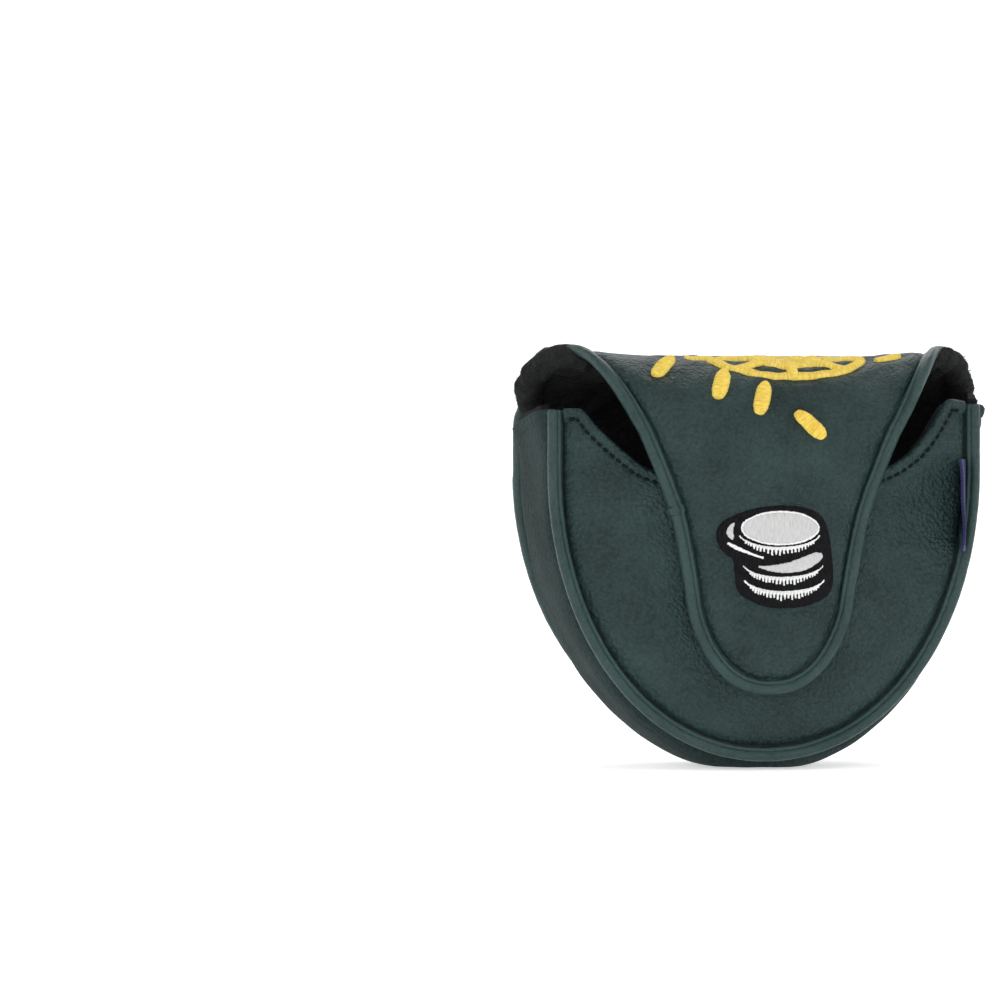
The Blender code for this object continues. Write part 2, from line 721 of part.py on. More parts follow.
def build_front_embroidery(group):
    """A flag with a ball bouncing to it, a ball on a tee, grass, two bolts and two of the rays."""
    pole = stroke(((-0.032, 0.096), (-0.0235, 0.071), (-0.0165, 0.0430)), STROKE)
    pennant = stroke(((-0.0282, 0.0850), (-0.0050, 0.0905)), 0.0075, (1.0, 0.15), 5)
    hole = ring((-0.0160, 0.0458), (0.0092, 0.0030), STROKE)
    bounces = []
    for share in steps(0, 1, 16):
        height = 0.0125 * (1 + share) * abs(math.sin(2 * math.pi * share))
        bounces.append((-0.0072 + 0.0165 * share, 0.0465 + 0.009 * share + height, STROKE))
    ball = disc((0.0096, 0.0568), 0.0036, 0.0036)
    lines = [pole, pennant, hole, bounces, ball]
    add_embroidery("embroidery_flag", front_surface, lines, "blue_thread", group)

    tee_ball = ring((0.0265, 0.0600), (0.0056, 0.0056), STROKE, 0, 360, 16)
    tee = stroke(((0.0240, 0.0548), (0.0150, 0.0345)), 0.0042, (1.0, 0.2), 5)
    lines = [tee, tee_ball]
    add_embroidery("embroidery_tee", front_surface, lines, "red_thread", group)

    roots = [(x, 0.0225 - 0.0015 * math.cos(x * 200)) for x in steps(-0.005, 0.0325, 4)]
    lines = [stroke(roots, STROKE)]
    for i, x in enumerate(steps(-0.003, 0.031, 6)):
        height = 0.0125 + 0.003 * math.cos(i * 2.2)
        lean = 0.0045 * math.sin(i * 1.7 + 0.5)
        root, tip = (x, 0.0215), (x + lean, 0.0215 + height)
        middle = (x + lean * 0.3, 0.0215 + height * 0.55)
        lines.append(stroke((root, middle, tip), 0.0016, (1.0, 0.35), 5))
    add_embroidery("embroidery_grass", front_surface, lines, "green_bright_thread", group)

    for name, centre, degrees, length in (
        ("embroidery_bolt_left", (-0.0308, 0.0350), -54, 0.0235),
        ("embroidery_bolt_right", (0.0450, 0.0770), -75, 0.0245),
    ):
        lines = bolt_lines(centre, math.radians(degrees), length)
        add_embroidery(name, front_surface, lines, "yellow_thread", group)

    low, high = (0.0048, 0.0958), (0.0048, 0.1015)
    add_ray("embroidery_ray_2", top_surface, low, high, group)
    low, high = (0.0210, 0.0945), (0.0184, 0.1012)
    add_ray("embroidery_ray_3", top_surface, low, high, group)


def bolt_lines(centre, tilt, length):
    """Two opposed wedges that overlap in the middle."""
    along = Vector((math.cos(tilt), math.sin(tilt)))
    side = Vector((-along.y, along.x))
    lines = []
    for turn in (1, -1):
        wide = Vector(centre) + turn * (along * length * 0.12 + side * 0.0028)
        tip = Vector(centre) - turn * (along * length - side * 0.0030)
        lines.append(stroke((tuple(wide), tuple(tip)), 0.0058, (1.0, 0.12), 6))
    return lines


def add_ray(name, surface, start, end, group):
    """A short plump dash."""
    middle = ((start[0] + end[0]) / 2, (start[1] + end[1]) / 2)
    run = Vector(end) - Vector(start)
    half_length = run.length / 2 + RAY
    line = disc(middle, half_length, RAY, math.atan2(run.y, run.x))
    add_embroidery(name, surface, [line], "yellow_thread", group)


def build_bridge(group):
    start = bend_run(BRIDGE_FOLD + FOLD_GAP)
    end = bend_run(FLAP_FOLD - FOLD_GAP)
    rows = bridge_rows(start, end)
    add_sheet("bridge_panel", strip_grid(rows), (0, LEATHER), "green_leather", group)
    add_sheet("bridge_pad", strip_grid(rows, LINING_INSET), PAD, "foam", group)
    grid = strip_grid(spread_rows(rows), LINING_INSET)
    add_sheet("bridge_lining", grid, LINING, "black_plush", group)
    rows = bridge_rows(start + PIPING_TRIM, end - PIPING_TRIM)
    add_piping("bridge_piping_left", edge_path(rows, -1, PIPING_DEPTH), group)
    add_piping("bridge_piping_right", edge_path(rows, 1, PIPING_DEPTH), group)
    start, end = (-0.0068, bend_run(math.radians(55))), (-0.0032, bend_run(math.radians(69)))
    add_ray("embroidery_ray_1", top_surface, start, end, group)


def build_flap(group):
    rows = flap_rows(bend_run(FLAP_FOLD + FOLD_GAP))
    add_sheet("flap_panel", strip_grid(rows), (0, LEATHER), "green_leather", group)
    pad = add_sheet("flap_pad", strip_grid(rows, LINING_INSET), FLAP_PAD, "foam", group)
    grid = strip_grid(rows, LINING_INSET)
    add_sheet("flap_lining", grid, FLAP_LINING, "black_plush", group)
    add_piping("flap_piping", flap_piping_path(rows[0][0]), group)
    depth = sum(FLAP_PAD) / 2
    magnet = disc_on(flap_surface, 0, MAGNET_Z, depth, MAGNET_R, 0.0010, "flap_magnet")
    add_piece("flap_magnet", magnet, "magnet_steel", group)
    hole = disc_on(flap_surface, 0, MAGNET_Z, depth, MAGNET_HOLE_R, 0.004, "flap_hole")
    cut_hole(pad, hole, group)
    build_flap_embroidery(group)


def build_flap_embroidery(group):
    """Half a sun below the fold with the rest of its rays, and a stack of discs on a black patch."""
    middle = (-0.0070, bend_run(math.radians(106)))
    radii = (0.0205, 0.0115)
    sun = [
        ring(middle, radii, STROKE, 6, 174),
        stroke(((-0.0260, middle[1]), middle, (0.0190, middle[1])), STROKE),
        ring(middle, (0.0070, 0.0046), 0.0030, 14, 166),
    ]
    for degrees in (45, 90, 135):
        angle = math.radians(degrees)
        spoke = Vector((radii[0] * math.cos(angle), radii[1] * math.sin(angle)))
        start, end = Vector(middle) + spoke * 0.5, Vector(middle) + spoke * 0.96
        sun.append(stroke((tuple(start), tuple(end)), STROKE, count=3))
    add_embroidery("embroidery_sun", top_surface, sun, "yellow_thread", group)
    rays = (  # number, x and place along the bend in degrees of its start and its end
        (4, (0.0247, 110), (0.0292, 132)),
        (5, (0.0118, 134), (0.0140, 153)),
        (6, (0.0016, 148), (0.0034, 166)),
        (7, (-0.0075, 172), (-0.0122, 184)),
        (8, (-0.0368, 107), (-0.0332, 111)),
    )
    for number, *ends in rays:
        start, end = ((x, bend_run(math.radians(degrees))) for x, degrees in ends)
        add_ray(f"embroidery_ray_{number}", top_surface, start, end, group)
    patch = disc((0.0, 0.0580), 0.0156, 0.0136, count=14, roundness=3)
    add_embroidery("embroidery_patch", flap_surface, [patch], "black_thread", group)
    for name, place, sizes in (
        ("embroidery_disc_face", (0.0, 0.0640), (0.0104, 0.0043)),
        ("embroidery_disc_rim_1", (0.0, 0.0566), (0.0100, 0.0022)),
        ("embroidery_disc_rim_2", (0.0, 0.0506), (0.0100, 0.0022)),
    ):
        line = disc(place, *sizes)
        lift = GAP + THREAD_HEIGHT
        add_embroidery(name, flap_surface, [line], "grey_thread", group, lift)


def main():
    clear_scene()
    bridge_pivot, flap_pivot = fold_pivot(BRIDGE_FOLD), fold_pivot(FLAP_FOLD)
    build_pocket(make_group("pocket", Vector((0, 0, 0))))
    build_bridge(make_group("bridge", bridge_pivot))
    build_flap(make_group("flap", flap_pivot))
    print("bridge_fold", [round(v, 5) for v in bridge_pivot])
    print("flap_fold", [round(v, 5) for v in flap_pivot])


main()
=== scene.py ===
"""The looks of a mallet putter head cover: stitched green leather with piping, black plush
lining and embroidery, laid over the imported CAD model.

Metres, +Z up, in the frame of the CAD. The front panel faces -Y and the flap faces +Y.
"""

import math

import bpy
import numpy as np
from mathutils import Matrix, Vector


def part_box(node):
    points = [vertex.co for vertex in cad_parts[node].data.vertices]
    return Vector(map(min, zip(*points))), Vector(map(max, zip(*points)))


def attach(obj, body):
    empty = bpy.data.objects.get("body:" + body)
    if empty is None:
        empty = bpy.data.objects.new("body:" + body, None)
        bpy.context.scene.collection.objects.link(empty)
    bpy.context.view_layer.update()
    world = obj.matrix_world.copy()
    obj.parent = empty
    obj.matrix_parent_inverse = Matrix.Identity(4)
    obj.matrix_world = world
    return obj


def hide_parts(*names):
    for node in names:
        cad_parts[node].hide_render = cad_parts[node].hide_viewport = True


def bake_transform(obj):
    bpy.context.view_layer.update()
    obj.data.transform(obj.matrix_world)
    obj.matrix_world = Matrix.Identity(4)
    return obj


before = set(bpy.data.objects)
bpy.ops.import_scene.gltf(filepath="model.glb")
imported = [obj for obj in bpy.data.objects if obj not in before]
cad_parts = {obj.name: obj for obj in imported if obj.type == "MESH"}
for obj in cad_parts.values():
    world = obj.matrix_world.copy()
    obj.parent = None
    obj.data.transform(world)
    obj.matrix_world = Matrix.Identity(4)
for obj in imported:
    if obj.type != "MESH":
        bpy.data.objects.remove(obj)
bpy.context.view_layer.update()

# The CAD model's own shape, in metres
FRONT_SEAM_Y = -0.0232
BACK_SEAM_Y = 0.0168
MIDDLE_Z = 0.080
BEND_Z = 0.091
TOP_Z = 0.1095
EAR_Z = 0.1124
EAR_SHARPNESS = 6
FLAP_END_Z = 0.0243
D_ROUNDNESS = 2.05
TIP_ROUNDNESS = 2.4
TIP_TAPER = 0.19
TIP_START_Z = 0.0459
FRONT_HALF_WIDTH = 0.0589
FRONT_BOTTOM_Z = 0.0073
FRONT_CROWN = 0.0045
BACK_HALF_WIDTH = 0.0543
BACK_BOTTOM_Z = 0.0062
BACK_CROWN = 0.0040
FLAP_CROWN = 0.0010
FLAP_RISE = 0.0049
SHOULDER_Z = 0.0965
NOMINAL_BEND = 0.0222
BEND_RUN = math.pi * NOMINAL_BEND
STRIP_EDGE = (
    (BEND_Z - 0.011, FRONT_HALF_WIDTH),
    (BEND_Z, FRONT_HALF_WIDTH),
    (BEND_Z + 0.0161, 0.0580),
    (BEND_Z + 0.0284, 0.0529),
    (BEND_Z + 0.0346, 0.0475),
    (BEND_Z + 0.0491, 0.0410),
    (BEND_Z + 0.0630, 0.0348),
    (BEND_Z + 0.0691, 0.0320),
    (BEND_Z + 0.0785, 0.0280),
    (BEND_Z + 0.0902, 0.0236),
    (BEND_Z + 0.0993, 0.0213),
    (BEND_Z + BEND_RUN + BEND_Z - TIP_START_Z, 0.0186),
)
PIPING_R = 0.0019
PIPING_REACH = PIPING_R + 0.0004
PIPING_DEPTH = 0.0012
FLAP_PIPING_DEPTH = 0.0016
LEATHER = 0.0012
GUSSET = (  # y, half width, bottom, share of the flare
    (-0.0190, 0.0612, 0.0046, 0.3),
    (-0.0159, 0.0625, 0.0006, 0.8),
    (-0.0114, 0.0629, -0.0016, 1.0),
    (0.0061, 0.0606, -0.0016, 1.0),
    (0.0109, 0.0592, 0.0004, 0.8),
    (0.0132, 0.0570, 0.0035, 0.3),
)
GUSSET_DRAW = 0.0012  # how far its sides are drawn in by the panels' pull
GUSSET_FLARE = 0.0026  # how far its mouth flares out again
GUSSET_HEMS = {1: (0.0914, 0.0957), -1: (0.0955, 0.0974)}  # each side's, at the front and back
GUSSET_HEM_START = -0.0130  # y
GUSSET_HEM_RUN = 0.0262
LINING_DEPTHS = (0.0040, 0.0062)  # of the strip lining's two faces under the leather's
TOPSTITCH_X = (0.0528, 0.0290)  # where a shoulder's stitches start and end

EAR_TUCK = 0.0014  # how far the strip draws in over the gusset's corners
PUFF = 0.0008  # how far the padding lifts a panel's middle
PUFF_RUN = 0.018  # how far in from a seam it takes to rise

# How far leather drops at an edge, and over what width
STRIP_ROLL = (0.0024, 0.0034)
BACK_ROLL = (0.0027, 0.0034)
BACK_MOUTH_ROLL = (0.0005, 0.0016)
SCOOP_HEM_ROLL = (0.0012, 0.0011)
GUSSET_ROLL = (0.0009, 0.0030)
GUSSET_HEM_ROLL = (0.0007, 0.0008)
PIPING_STEP = 0.0007  # between the sections of a length of piping

# Where the strip's two leather pieces meet, between the folds
MEETING = math.radians(72)
FRONT_FOLD = (math.radians(27), math.radians(65))  # where each fold's bending starts and ends
FLAP_FOLD = (math.radians(77), math.radians(125))

THREAD = 0.00042  # from one embroidery thread to the next
RAY = 0.0021
STROKE = 0.0014
OUTLINE = 0.0010  # how far the black outline shows round a coloured line


# Numbers


def smooth_step(t):
    t = np.clip(t, 0, 1)
    return t * t * (3 - 2 * t)


def swell(distance, place, width):
    """A smooth rise to 1 at a place, which fades out on both sides of it."""
    return np.exp(-(((distance - place) / width) ** 2))


def through(table, x):
    """A smooth curve through a table of (x, y), level beyond its ends."""
    xs, ys = np.array(table, float).T
    slope = np.gradient(ys, xs)
    slope[1:-1] = (ys[2:] - ys[:-2]) / (xs[2:] - xs[:-2])
    x = np.clip(np.asarray(x, float), xs[0], xs[-1])
    i = np.clip(np.searchsorted(xs, x, side="right") - 1, 0, len(xs) - 2)
    span = xs[i + 1] - xs[i]
    t = (x - xs[i]) / span
    rise = (2 * t**3 - 3 * t**2 + 1) * ys[i] + (3 * t**2 - 2 * t**3) * ys[i + 1]
    return rise + span * ((t**3 - 2 * t**2 + t) * slope[i] + (t**3 - t**2) * slope[i + 1])


def unit(v):
    return v / np.maximum(np.linalg.norm(v, axis=-1, keepdims=True), 1e-12)


def waves(seed, shortest, longest, count=14):
    """A smooth random field of two coordinates, mostly between -1 and 1."""
    rng = np.random.default_rng(seed)
    angle, phase = rng.uniform(0, 2 * math.pi, (2, count))
    length = np.exp(rng.uniform(math.log(shortest), math.log(longest), count))

    def field(a, b=0.0):
        total = 0
        for k in range(count):
            along = a * math.cos(angle[k]) + b * math.sin(angle[k])
            total = total + np.sin(2 * math.pi * along / length[k] + phase[k])
        return total / math.sqrt(2 * count)

    return field


def distance_to(x, z, line):
    """From each point to a line of (x, z) points, and how far along the line the nearest is."""
    step = np.r_[0, np.cumsum(np.linalg.norm(np.diff(line, axis=0), axis=1))]
    flat_x, flat_z = np.ravel(x), np.ravel(z)
    near, where = np.empty(flat_x.size), np.empty(flat_x.size)
    for start in range(0, flat_x.size, 4000):
        part = slice(start, start + 4000)
        gap = np.hypot(
            flat_x[part, None] - line[None, :, 0], flat_z[part, None] - line[None, :, 1]
        )
        nearest = gap.argmin(1)
        near[part], where[part] = gap.min(1), step[nearest]
    return near.reshape(np.shape(x)), where.reshape(np.shape(x))


# Surfaces of the CAD model


def d_drop(z, bottom):
    return np.clip((MIDDLE_Z - z) / (MIDDLE_Z - bottom), 0, 1)


def d_half_width(z, half_width, bottom):
    return half_width * (1 - d_drop(z, bottom) ** D_ROUNDNESS) ** (1 / D_ROUNDNESS)


def d_point(angle, half_width, bottom):
    power = 2 / D_ROUNDNESS
    x = half_width * np.sign(angle) * np.abs(np.sin(angle)) ** power
    return x, MIDDLE_Z - (MIDDLE_Z - bottom) * np.abs(np.cos(angle)) ** power


def back_y(x, z):
    half_width = d_half_width(z, BACK_HALF_WIDTH, BACK_BOTTOM_Z)
    across = np.minimum(np.abs(x) / np.maximum(half_width, 1e-6), 1)
    return BACK_SEAM_Y + BACK_CROWN * (1 - across**2) * (1 - d_drop(z, BACK_BOTTOM_Z) ** 2)


def run_of_flap(z):
    return 2 * BEND_Z + BEND_RUN - z


def bend_run(angle):
    return BEND_Z + NOMINAL_BEND * angle


def flap_y(x, z):
    across = np.minimum(np.abs(x) / through(STRIP_EDGE, run_of_flap(z)), 1)
    return back_y(x, z) + FLAP_RISE + FLAP_CROWN * (1 - across**2)


def strip_half_width(run):
    """Half the strip's width: its run goes up the front, over the top and down the flap."""
    tip = np.clip((run - run_of_flap(TIP_START_Z)) / (TIP_START_Z - FLAP_END_Z), 0, 1)
    flap = through(STRIP_EDGE, run) - TIP_TAPER * tip * (TIP_START_Z - FLAP_END_Z)
    flap = flap * (1 - tip**TIP_ROUNDNESS) ** (1 / TIP_ROUNDNESS)
    flap = flap - EAR_TUCK * smooth_step((run - 0.0935) / 0.004) * (
        1 - smooth_step((run - 0.1060) / 0.016)
    )
    return np.where(run < MIDDLE_Z, d_half_width(run, FRONT_HALF_WIDTH, FRONT_BOTTOM_Z), flap)


def strip_point(run, u):
    """The strip's outer face, u of the way from its middle to its edge."""
    run, u = np.broadcast_arrays(np.asarray(run, float), np.asarray(u, float))
    x = u * strip_half_width(run)
    front_z = np.minimum(run, BEND_Z)
    crown = FRONT_CROWN * (1 - u * u) * (1 - d_drop(front_z, FRONT_BOTTOM_Z) ** 2)
    front = FRONT_SEAM_Y - crown
    flap_z = np.minimum(2 * BEND_Z + BEND_RUN - run, BEND_Z)
    flap = flap_y(x, flap_z)
    angle = np.clip((run - BEND_Z) / NOMINAL_BEND, 0, math.pi)
    y = (front + flap) / 2 - (flap - front) / 2 * np.cos(angle)
    rise = TOP_Z - BEND_Z + (EAR_Z - TOP_Z) * np.abs(u) ** EAR_SHARPNESS
    z = np.where(run < BEND_Z, front_z, np.where(angle >= math.pi, flap_z, BEND_Z))
    return np.stack([x, y, z + rise * np.sin(angle) * (angle < math.pi)], -1)


def grid_normals(points, out):
    """Normals of a grid of points; out is +1 or -1 to have them face outwards."""
    down, right = np.gradient(points, axis=0), np.gradient(points, axis=1)
    return unit(np.cross(right, down)) * out


# Meshes


def signed_volume(points, faces):
    total = 0
    for k in range(1, faces.shape[1] - 1):
        a, b, c = points[faces[:, 0]], points[faces[:, k]], points[faces[:, k + 1]]
        total += np.einsum("ij,ij->i", a, np.cross(b, c)).sum()
    return total


def grid_faces(rows, columns, ring=False):
    i, j = np.meshgrid(
        np.arange(rows - 1), np.arange(columns if ring else columns - 1), indexing="ij"
    )
    k = (j + 1) % columns
    low, high = i * columns, (i + 1) * columns
    return np.stack([low + j, low + k, high + k, high + j], -1).reshape(-1, 4)


def closed_sheet(outer, inner, uv):
    """(points, faces, uv) of a closed sheet between two grids of points."""
    rows, columns = outer.shape[:2]
    count = rows * columns
    index = np.arange(count).reshape(rows, columns)
    rim = np.r_[index[0], index[1:, -1], index[-1, -2::-1], index[-2:0:-1, 0]]
    after = np.roll(rim, -1)
    side = np.stack([after, rim, rim + count, after + count], -1)
    front = grid_faces(rows, columns)
    faces = np.concatenate([front, front[:, ::-1] + count, side])
    points = np.concatenate([outer.reshape(-1, 3), inner.reshape(-1, 3)])
    return points, faces, np.concatenate([uv.reshape(-1, 2)] * 2)


def tube(path, across, up, section, scale=None, closed=False, uv_start=0.0):
    """(points, faces, uv) of a section of (across, up) offsets swept along a path."""
    scale = np.ones(len(path)) if scale is None else scale
    offset = (
        across[:, None] * section[None, :, :1] + up[:, None] * section[None, :, 1:]
    ) * scale[:, None, None]
    points = (path[:, None] + offset).reshape(-1, 3)
    rows, columns = len(path), len(section)
    if closed:
        faces = grid_faces(rows + 1, columns, ring=True) % (rows * columns)
    else:
        faces = grid_faces(rows, columns, ring=True)
    along = uv_start + np.r_[0, np.cumsum(np.linalg.norm(np.diff(path, axis=0), axis=1))]
    around = np.linspace(0, 0.012, columns)
    uv = np.stack(np.broadcast_arrays(around[None], along[:, None]), -1).reshape(-1, 2)
    ends = () if closed else (np.arange(columns)[::-1], np.arange(columns) + (rows - 1) * columns)
    return points, faces, uv, [list(end) for end in ends]


def add_mesh(name, parts, material, body=None, replaces=(), slot=None, blend=None, sharp=40):
    """One piece from closed parts, each (points, faces, uv) with any end polygons after them."""
    points, faces, uvs, base = [], [], [], 0
    for part in parts:
        quads = part[1]
        rest = part[3] if len(part) > 3 else []
        turned = signed_volume(part[0] - part[0].mean(0), quads) < 0
        quads = quads[:, ::-1] if turned else quads
        faces += (quads + base).tolist()
        faces += [[int(k) + base for k in (end[::-1] if turned else end)] for end in rest]
        points.append(part[0])
        uvs.append(part[2])
        base += len(part[0])
    mesh = bpy.data.meshes.new(name)
    mesh.from_pydata(np.concatenate(points).tolist(), [], faces)
    layer = mesh.uv_layers.new(name="UVMap")
    corners = np.empty(len(mesh.loops), np.int32)
    mesh.loops.foreach_get("vertex_index", corners)
    layer.data.foreach_set("uv", np.concatenate(uvs)[corners].ravel())
    mesh.shade_smooth()
    mesh.set_sharp_from_angle(angle=math.radians(sharp))
    mesh.materials.append(material)
    obj = bpy.data.objects.new(name, mesh)
    bpy.context.scene.collection.objects.link(obj)
    if blend:
        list(blend[0])
        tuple(blend[1])
        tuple(blend[2])
        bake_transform(obj)
    else:
        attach(obj, body)
    if replaces:
        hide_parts(*replaces)
    return obj


def even(points, spacing, *others):
    """Points at even spacing along a path, with other rows that go with them, softened a little."""
    step = np.r_[0, np.cumsum(np.linalg.norm(np.diff(points, axis=0), axis=1))]
    t = np.linspace(0, step[-1], max(int(step[-1] / spacing), 4))
    found = []
    for rows in (points, *others):
        rows = np.stack([np.interp(t, step, rows[:, k]) for k in range(rows.shape[1])], -1)
        for _ in range(3):
            rows[1:-1] = rows[1:-1] / 2 + (rows[:-2] + rows[2:]) / 4
        found.append(rows)
    return found


# Materials


def node(tree, kind, inputs=(), **settings):
    made = tree.nodes.new(kind)
    for key, value in settings.items():
        setattr(made, key, value)
    for key, value in dict(inputs).items():
        socket = made.inputs[key]
        if isinstance(value, bpy.types.NodeSocket):
            tree.links.new(value, socket)
        else:
            socket.default_value = value
    return made


def ramp(tree, factor, *stops):
    made = node(tree, "ShaderNodeValToRGB", {"Fac": factor})
    elements = made.color_ramp.elements
    while len(elements) < len(stops):
        elements.new(0.5)
    for element, (place, colour) in zip(elements, stops):
        element.position, element.color = place, (*colour, 1)
    return made.outputs["Color"]


def shader_of(name, **sockets):
    material = bpy.data.materials.new(name)
    material.use_nodes = True
    tree = material.node_tree
    shader = tree.nodes["Principled BSDF"]
    for key, value in sockets.items():
        shader.inputs[key.replace("_", " ")].default_value = value
    return material, tree, shader


def uv_scaled(tree, scale):
    uv = node(tree, "ShaderNodeUVMap", uv_map="UVMap")
    scaled = node(tree, "ShaderNodeMapping", {"Vector": uv.outputs["UV"], "Scale": (scale,) * 3})
    return scaled.outputs["Vector"]


def noise(tree, vector, scale, detail=2.0, roughness=0.5):
    return node(
        tree,
        "ShaderNodeTexNoise",
        {"Vector": vector, "Scale": scale, "Detail": detail, "Roughness": roughness},
    ).outputs["Fac"]


def maths(tree, operation, a, b):
    return node(tree, "ShaderNodeMath", {0: a, 1: b}, operation=operation).outputs["Value"]


def bump(tree, height, distance, strength=1.0, under=None):
    inputs = {"Height": height, "Distance": distance, "Strength": strength}
    if under is not None:
        inputs["Normal"] = under
    return node(tree, "ShaderNodeBump", inputs).outputs["Normal"]


def leather(name, dark, mid, light, roughness, grain=0.00060, gloss=0.26):
    """Pebbled leather: small domed cells, fine creases between them and slow shifts of tone,
    with painted shade in the creases and painted highlight on the domes.
    """
    material, tree, shader = shader_of(name, Specular_IOR_Level=gloss)
    millimetres = uv_scaled(tree, 1000.0)
    bent = noise(tree, millimetres, 0.9, 2.0)
    warp = node(
        tree,
        "ShaderNodeVectorMath",
        {0: millimetres, 1: node(tree, "ShaderNodeCombineXYZ", {"X": bent, "Y": bent}).outputs[0]},
        operation="ADD",
    ).outputs["Vector"]
    cells = node(
        tree, "ShaderNodeTexVoronoi", {"Vector": warp, "Scale": 1.05, "Smoothness": 0.35},
        feature="SMOOTH_F1",
    ).outputs["Distance"]
    fine = noise(tree, millimetres, 3.2, 3.0, 0.6)
    height = maths(tree, "SUBTRACT", maths(tree, "MULTIPLY", fine, 0.40), cells)
    slow = noise(tree, millimetres, 0.055, 3.0)
    patches = maths(tree, "MULTIPLY", noise(tree, millimetres, 0.30, 2.0), 0.12)
    # The grain's height goes into the colour as well: painted shade in the creases and painted
    # highlight on the domes, on top of the random slow tone and patches.
    tone = maths(tree, "ADD", maths(tree, "MULTIPLY", height, 0.40), slow)
    tone = maths(tree, "ADD", tone, patches)
    shader.inputs["Base Color"].default_value = (*mid, 1)
    tree.links.new(
        ramp(tree, tone, (0.18, dark), (0.42, mid), (0.78, light)), shader.inputs["Base Color"]
    )
    rough = maths(tree, "MULTIPLY_ADD", fine, 0.16)
    rough.node.inputs[2].default_value = roughness - 0.08
    tree.links.new(rough, shader.inputs["Roughness"])
    tree.links.new(bump(tree, height, grain), shader.inputs["Normal"])
    return material


def plush(name, colour):
    """Short dense pile: matt, with a soft edge and small clumps."""
    material, tree, shader = shader_of(
        name, Roughness=0.95, Specular_IOR_Level=0.08, Sheen_Weight=0.07, Sheen_Roughness=0.45
    )
    millimetres = uv_scaled(tree, 1000.0)
    clumps = noise(tree, millimetres, 0.7, 4.0, 0.7)
    tone = ramp(tree, clumps, (0.30, [c * 0.60 for c in colour]), (0.70, [c * 1.3 for c in colour]))
    tree.links.new(tone, shader.inputs["Base Color"])
    shader.inputs["Sheen Tint"].default_value = (0.35, 0.37, 0.38, 1)
    tree.links.new(bump(tree, clumps, 0.0006), shader.inputs["Normal"])
    return material


STRAND_SCALE = (500.0, 2600.0)  # along a strand and across it, in each metre


def thread(name, dark, light, roughness=0.5, gloss=0.30, sheen=0.10):
    """Embroidery thread: hair-fine strands across the line, with a soft shine."""
    material, tree, shader = shader_of(
        name, Roughness=roughness, Specular_IOR_Level=gloss, Sheen_Weight=sheen, Sheen_Roughness=0.3
    )
    metres = uv_scaled(tree, 1.0)
    parts = node(tree, "ShaderNodeSeparateXYZ", {"Vector": metres})
    stretched = node(
        tree,
        "ShaderNodeCombineXYZ",
        {
            "X": maths(tree, "MULTIPLY", parts.outputs["X"], STRAND_SCALE[0]),
            "Y": maths(tree, "MULTIPLY", parts.outputs["Y"], STRAND_SCALE[1]),
        },
    ).outputs["Vector"]
    strands = noise(tree, stretched, 1.0, 2.0, 0.6)
    tree.links.new(ramp(tree, strands, (0.30, dark), (0.62, light)), shader.inputs["Base Color"])
    tree.links.new(bump(tree, strands, 0.00006), shader.inputs["Normal"])
    return material


def woven(name, dark, light):
    """A close plain weave."""
    material, tree, shader = shader_of(name, Roughness=0.62, Specular_IOR_Level=0.3)
    waves_of = []
    for direction in ("X", "Y"):
        waves_of.append(
            node(
                tree,
                "ShaderNodeTexWave",
                {"Vector": uv_scaled(tree, 1000.0), "Scale": 0.32, "Distortion": 0.4},
                bands_direction=direction,
            ).outputs["Fac"]
        )
    weave = maths(tree, "MULTIPLY", *waves_of)
    tree.links.new(ramp(tree, weave, (0.0, dark), (0.8, light)), shader.inputs["Base Color"])
    tree.links.new(bump(tree, weave, 0.00008), shader.inputs["Normal"])
    return material


def brushed_steel(name):
    material, tree, shader = shader_of(name, Metallic=1.0)
    brushed = noise(tree, node(tree, "ShaderNodeTexCoord").outputs["Object"], 900.0, 3.0)
    tree.links.new(
        ramp(tree, brushed, (0.3, (0.42, 0.42, 0.44)), (0.7, (0.62, 0.62, 0.64))),
        shader.inputs["Base Color"],
    )
    rough = maths(tree, "MULTIPLY_ADD", brushed, 0.2)
    rough.node.inputs[2].default_value = 0.22
    tree.links.new(rough, shader.inputs["Roughness"])
    return material


GREEN = leather(
    "leather_green", (0.0068, 0.0198, 0.0187), (0.0142, 0.0345, 0.0328), (0.0255, 0.0530, 0.0505),
    0.45,
)
GREEN_PIPING = leather(
    "leather_piping", (0.0130, 0.0330, 0.0315), (0.0205, 0.0460, 0.0440),
    (0.0300, 0.0610, 0.0580), 0.38, 0.00010,
)
GREEN_SIDE = leather(
    "leather_side", (0.0115, 0.0215, 0.0208), (0.0185, 0.0330, 0.0320), (0.0270, 0.0450, 0.0435),
    0.75, gloss=0.10,
)
PLUSH = plush("plush_black", (0.0185, 0.0192, 0.0194))
TAG = woven("woven_navy", (0.005, 0.006, 0.036), (0.017, 0.022, 0.110))
GREEN_THREAD = thread(
    "thread_dark_green", (0.001, 0.003, 0.003), (0.005, 0.012, 0.011), 0.6, gloss=0.1, sheen=0.0
)
BLACK = thread(
    "thread_black", (0.002, 0.002, 0.003), (0.009, 0.009, 0.010), 0.7, gloss=0.08, sheen=0.0
)
BLUE = thread("thread_blue", (0.016, 0.130, 0.560), (0.040, 0.215, 0.860))
RED = thread("thread_red", (0.430, 0.012, 0.016), (0.760, 0.030, 0.034))
BRIGHT_GREEN = thread("thread_bright_green", (0.150, 0.420, 0.090), (0.330, 0.690, 0.190))
YELLOW = thread("thread_yellow", (0.640, 0.440, 0.050), (0.880, 0.680, 0.140))
GREY = thread("thread_grey", (0.440, 0.445, 0.440), (0.560, 0.565, 0.560))
WHITE = thread("thread_white", (0.640, 0.645, 0.640), (0.860, 0.865, 0.860))


# Embroidery lines: rows of (x, run, half width) on the strip


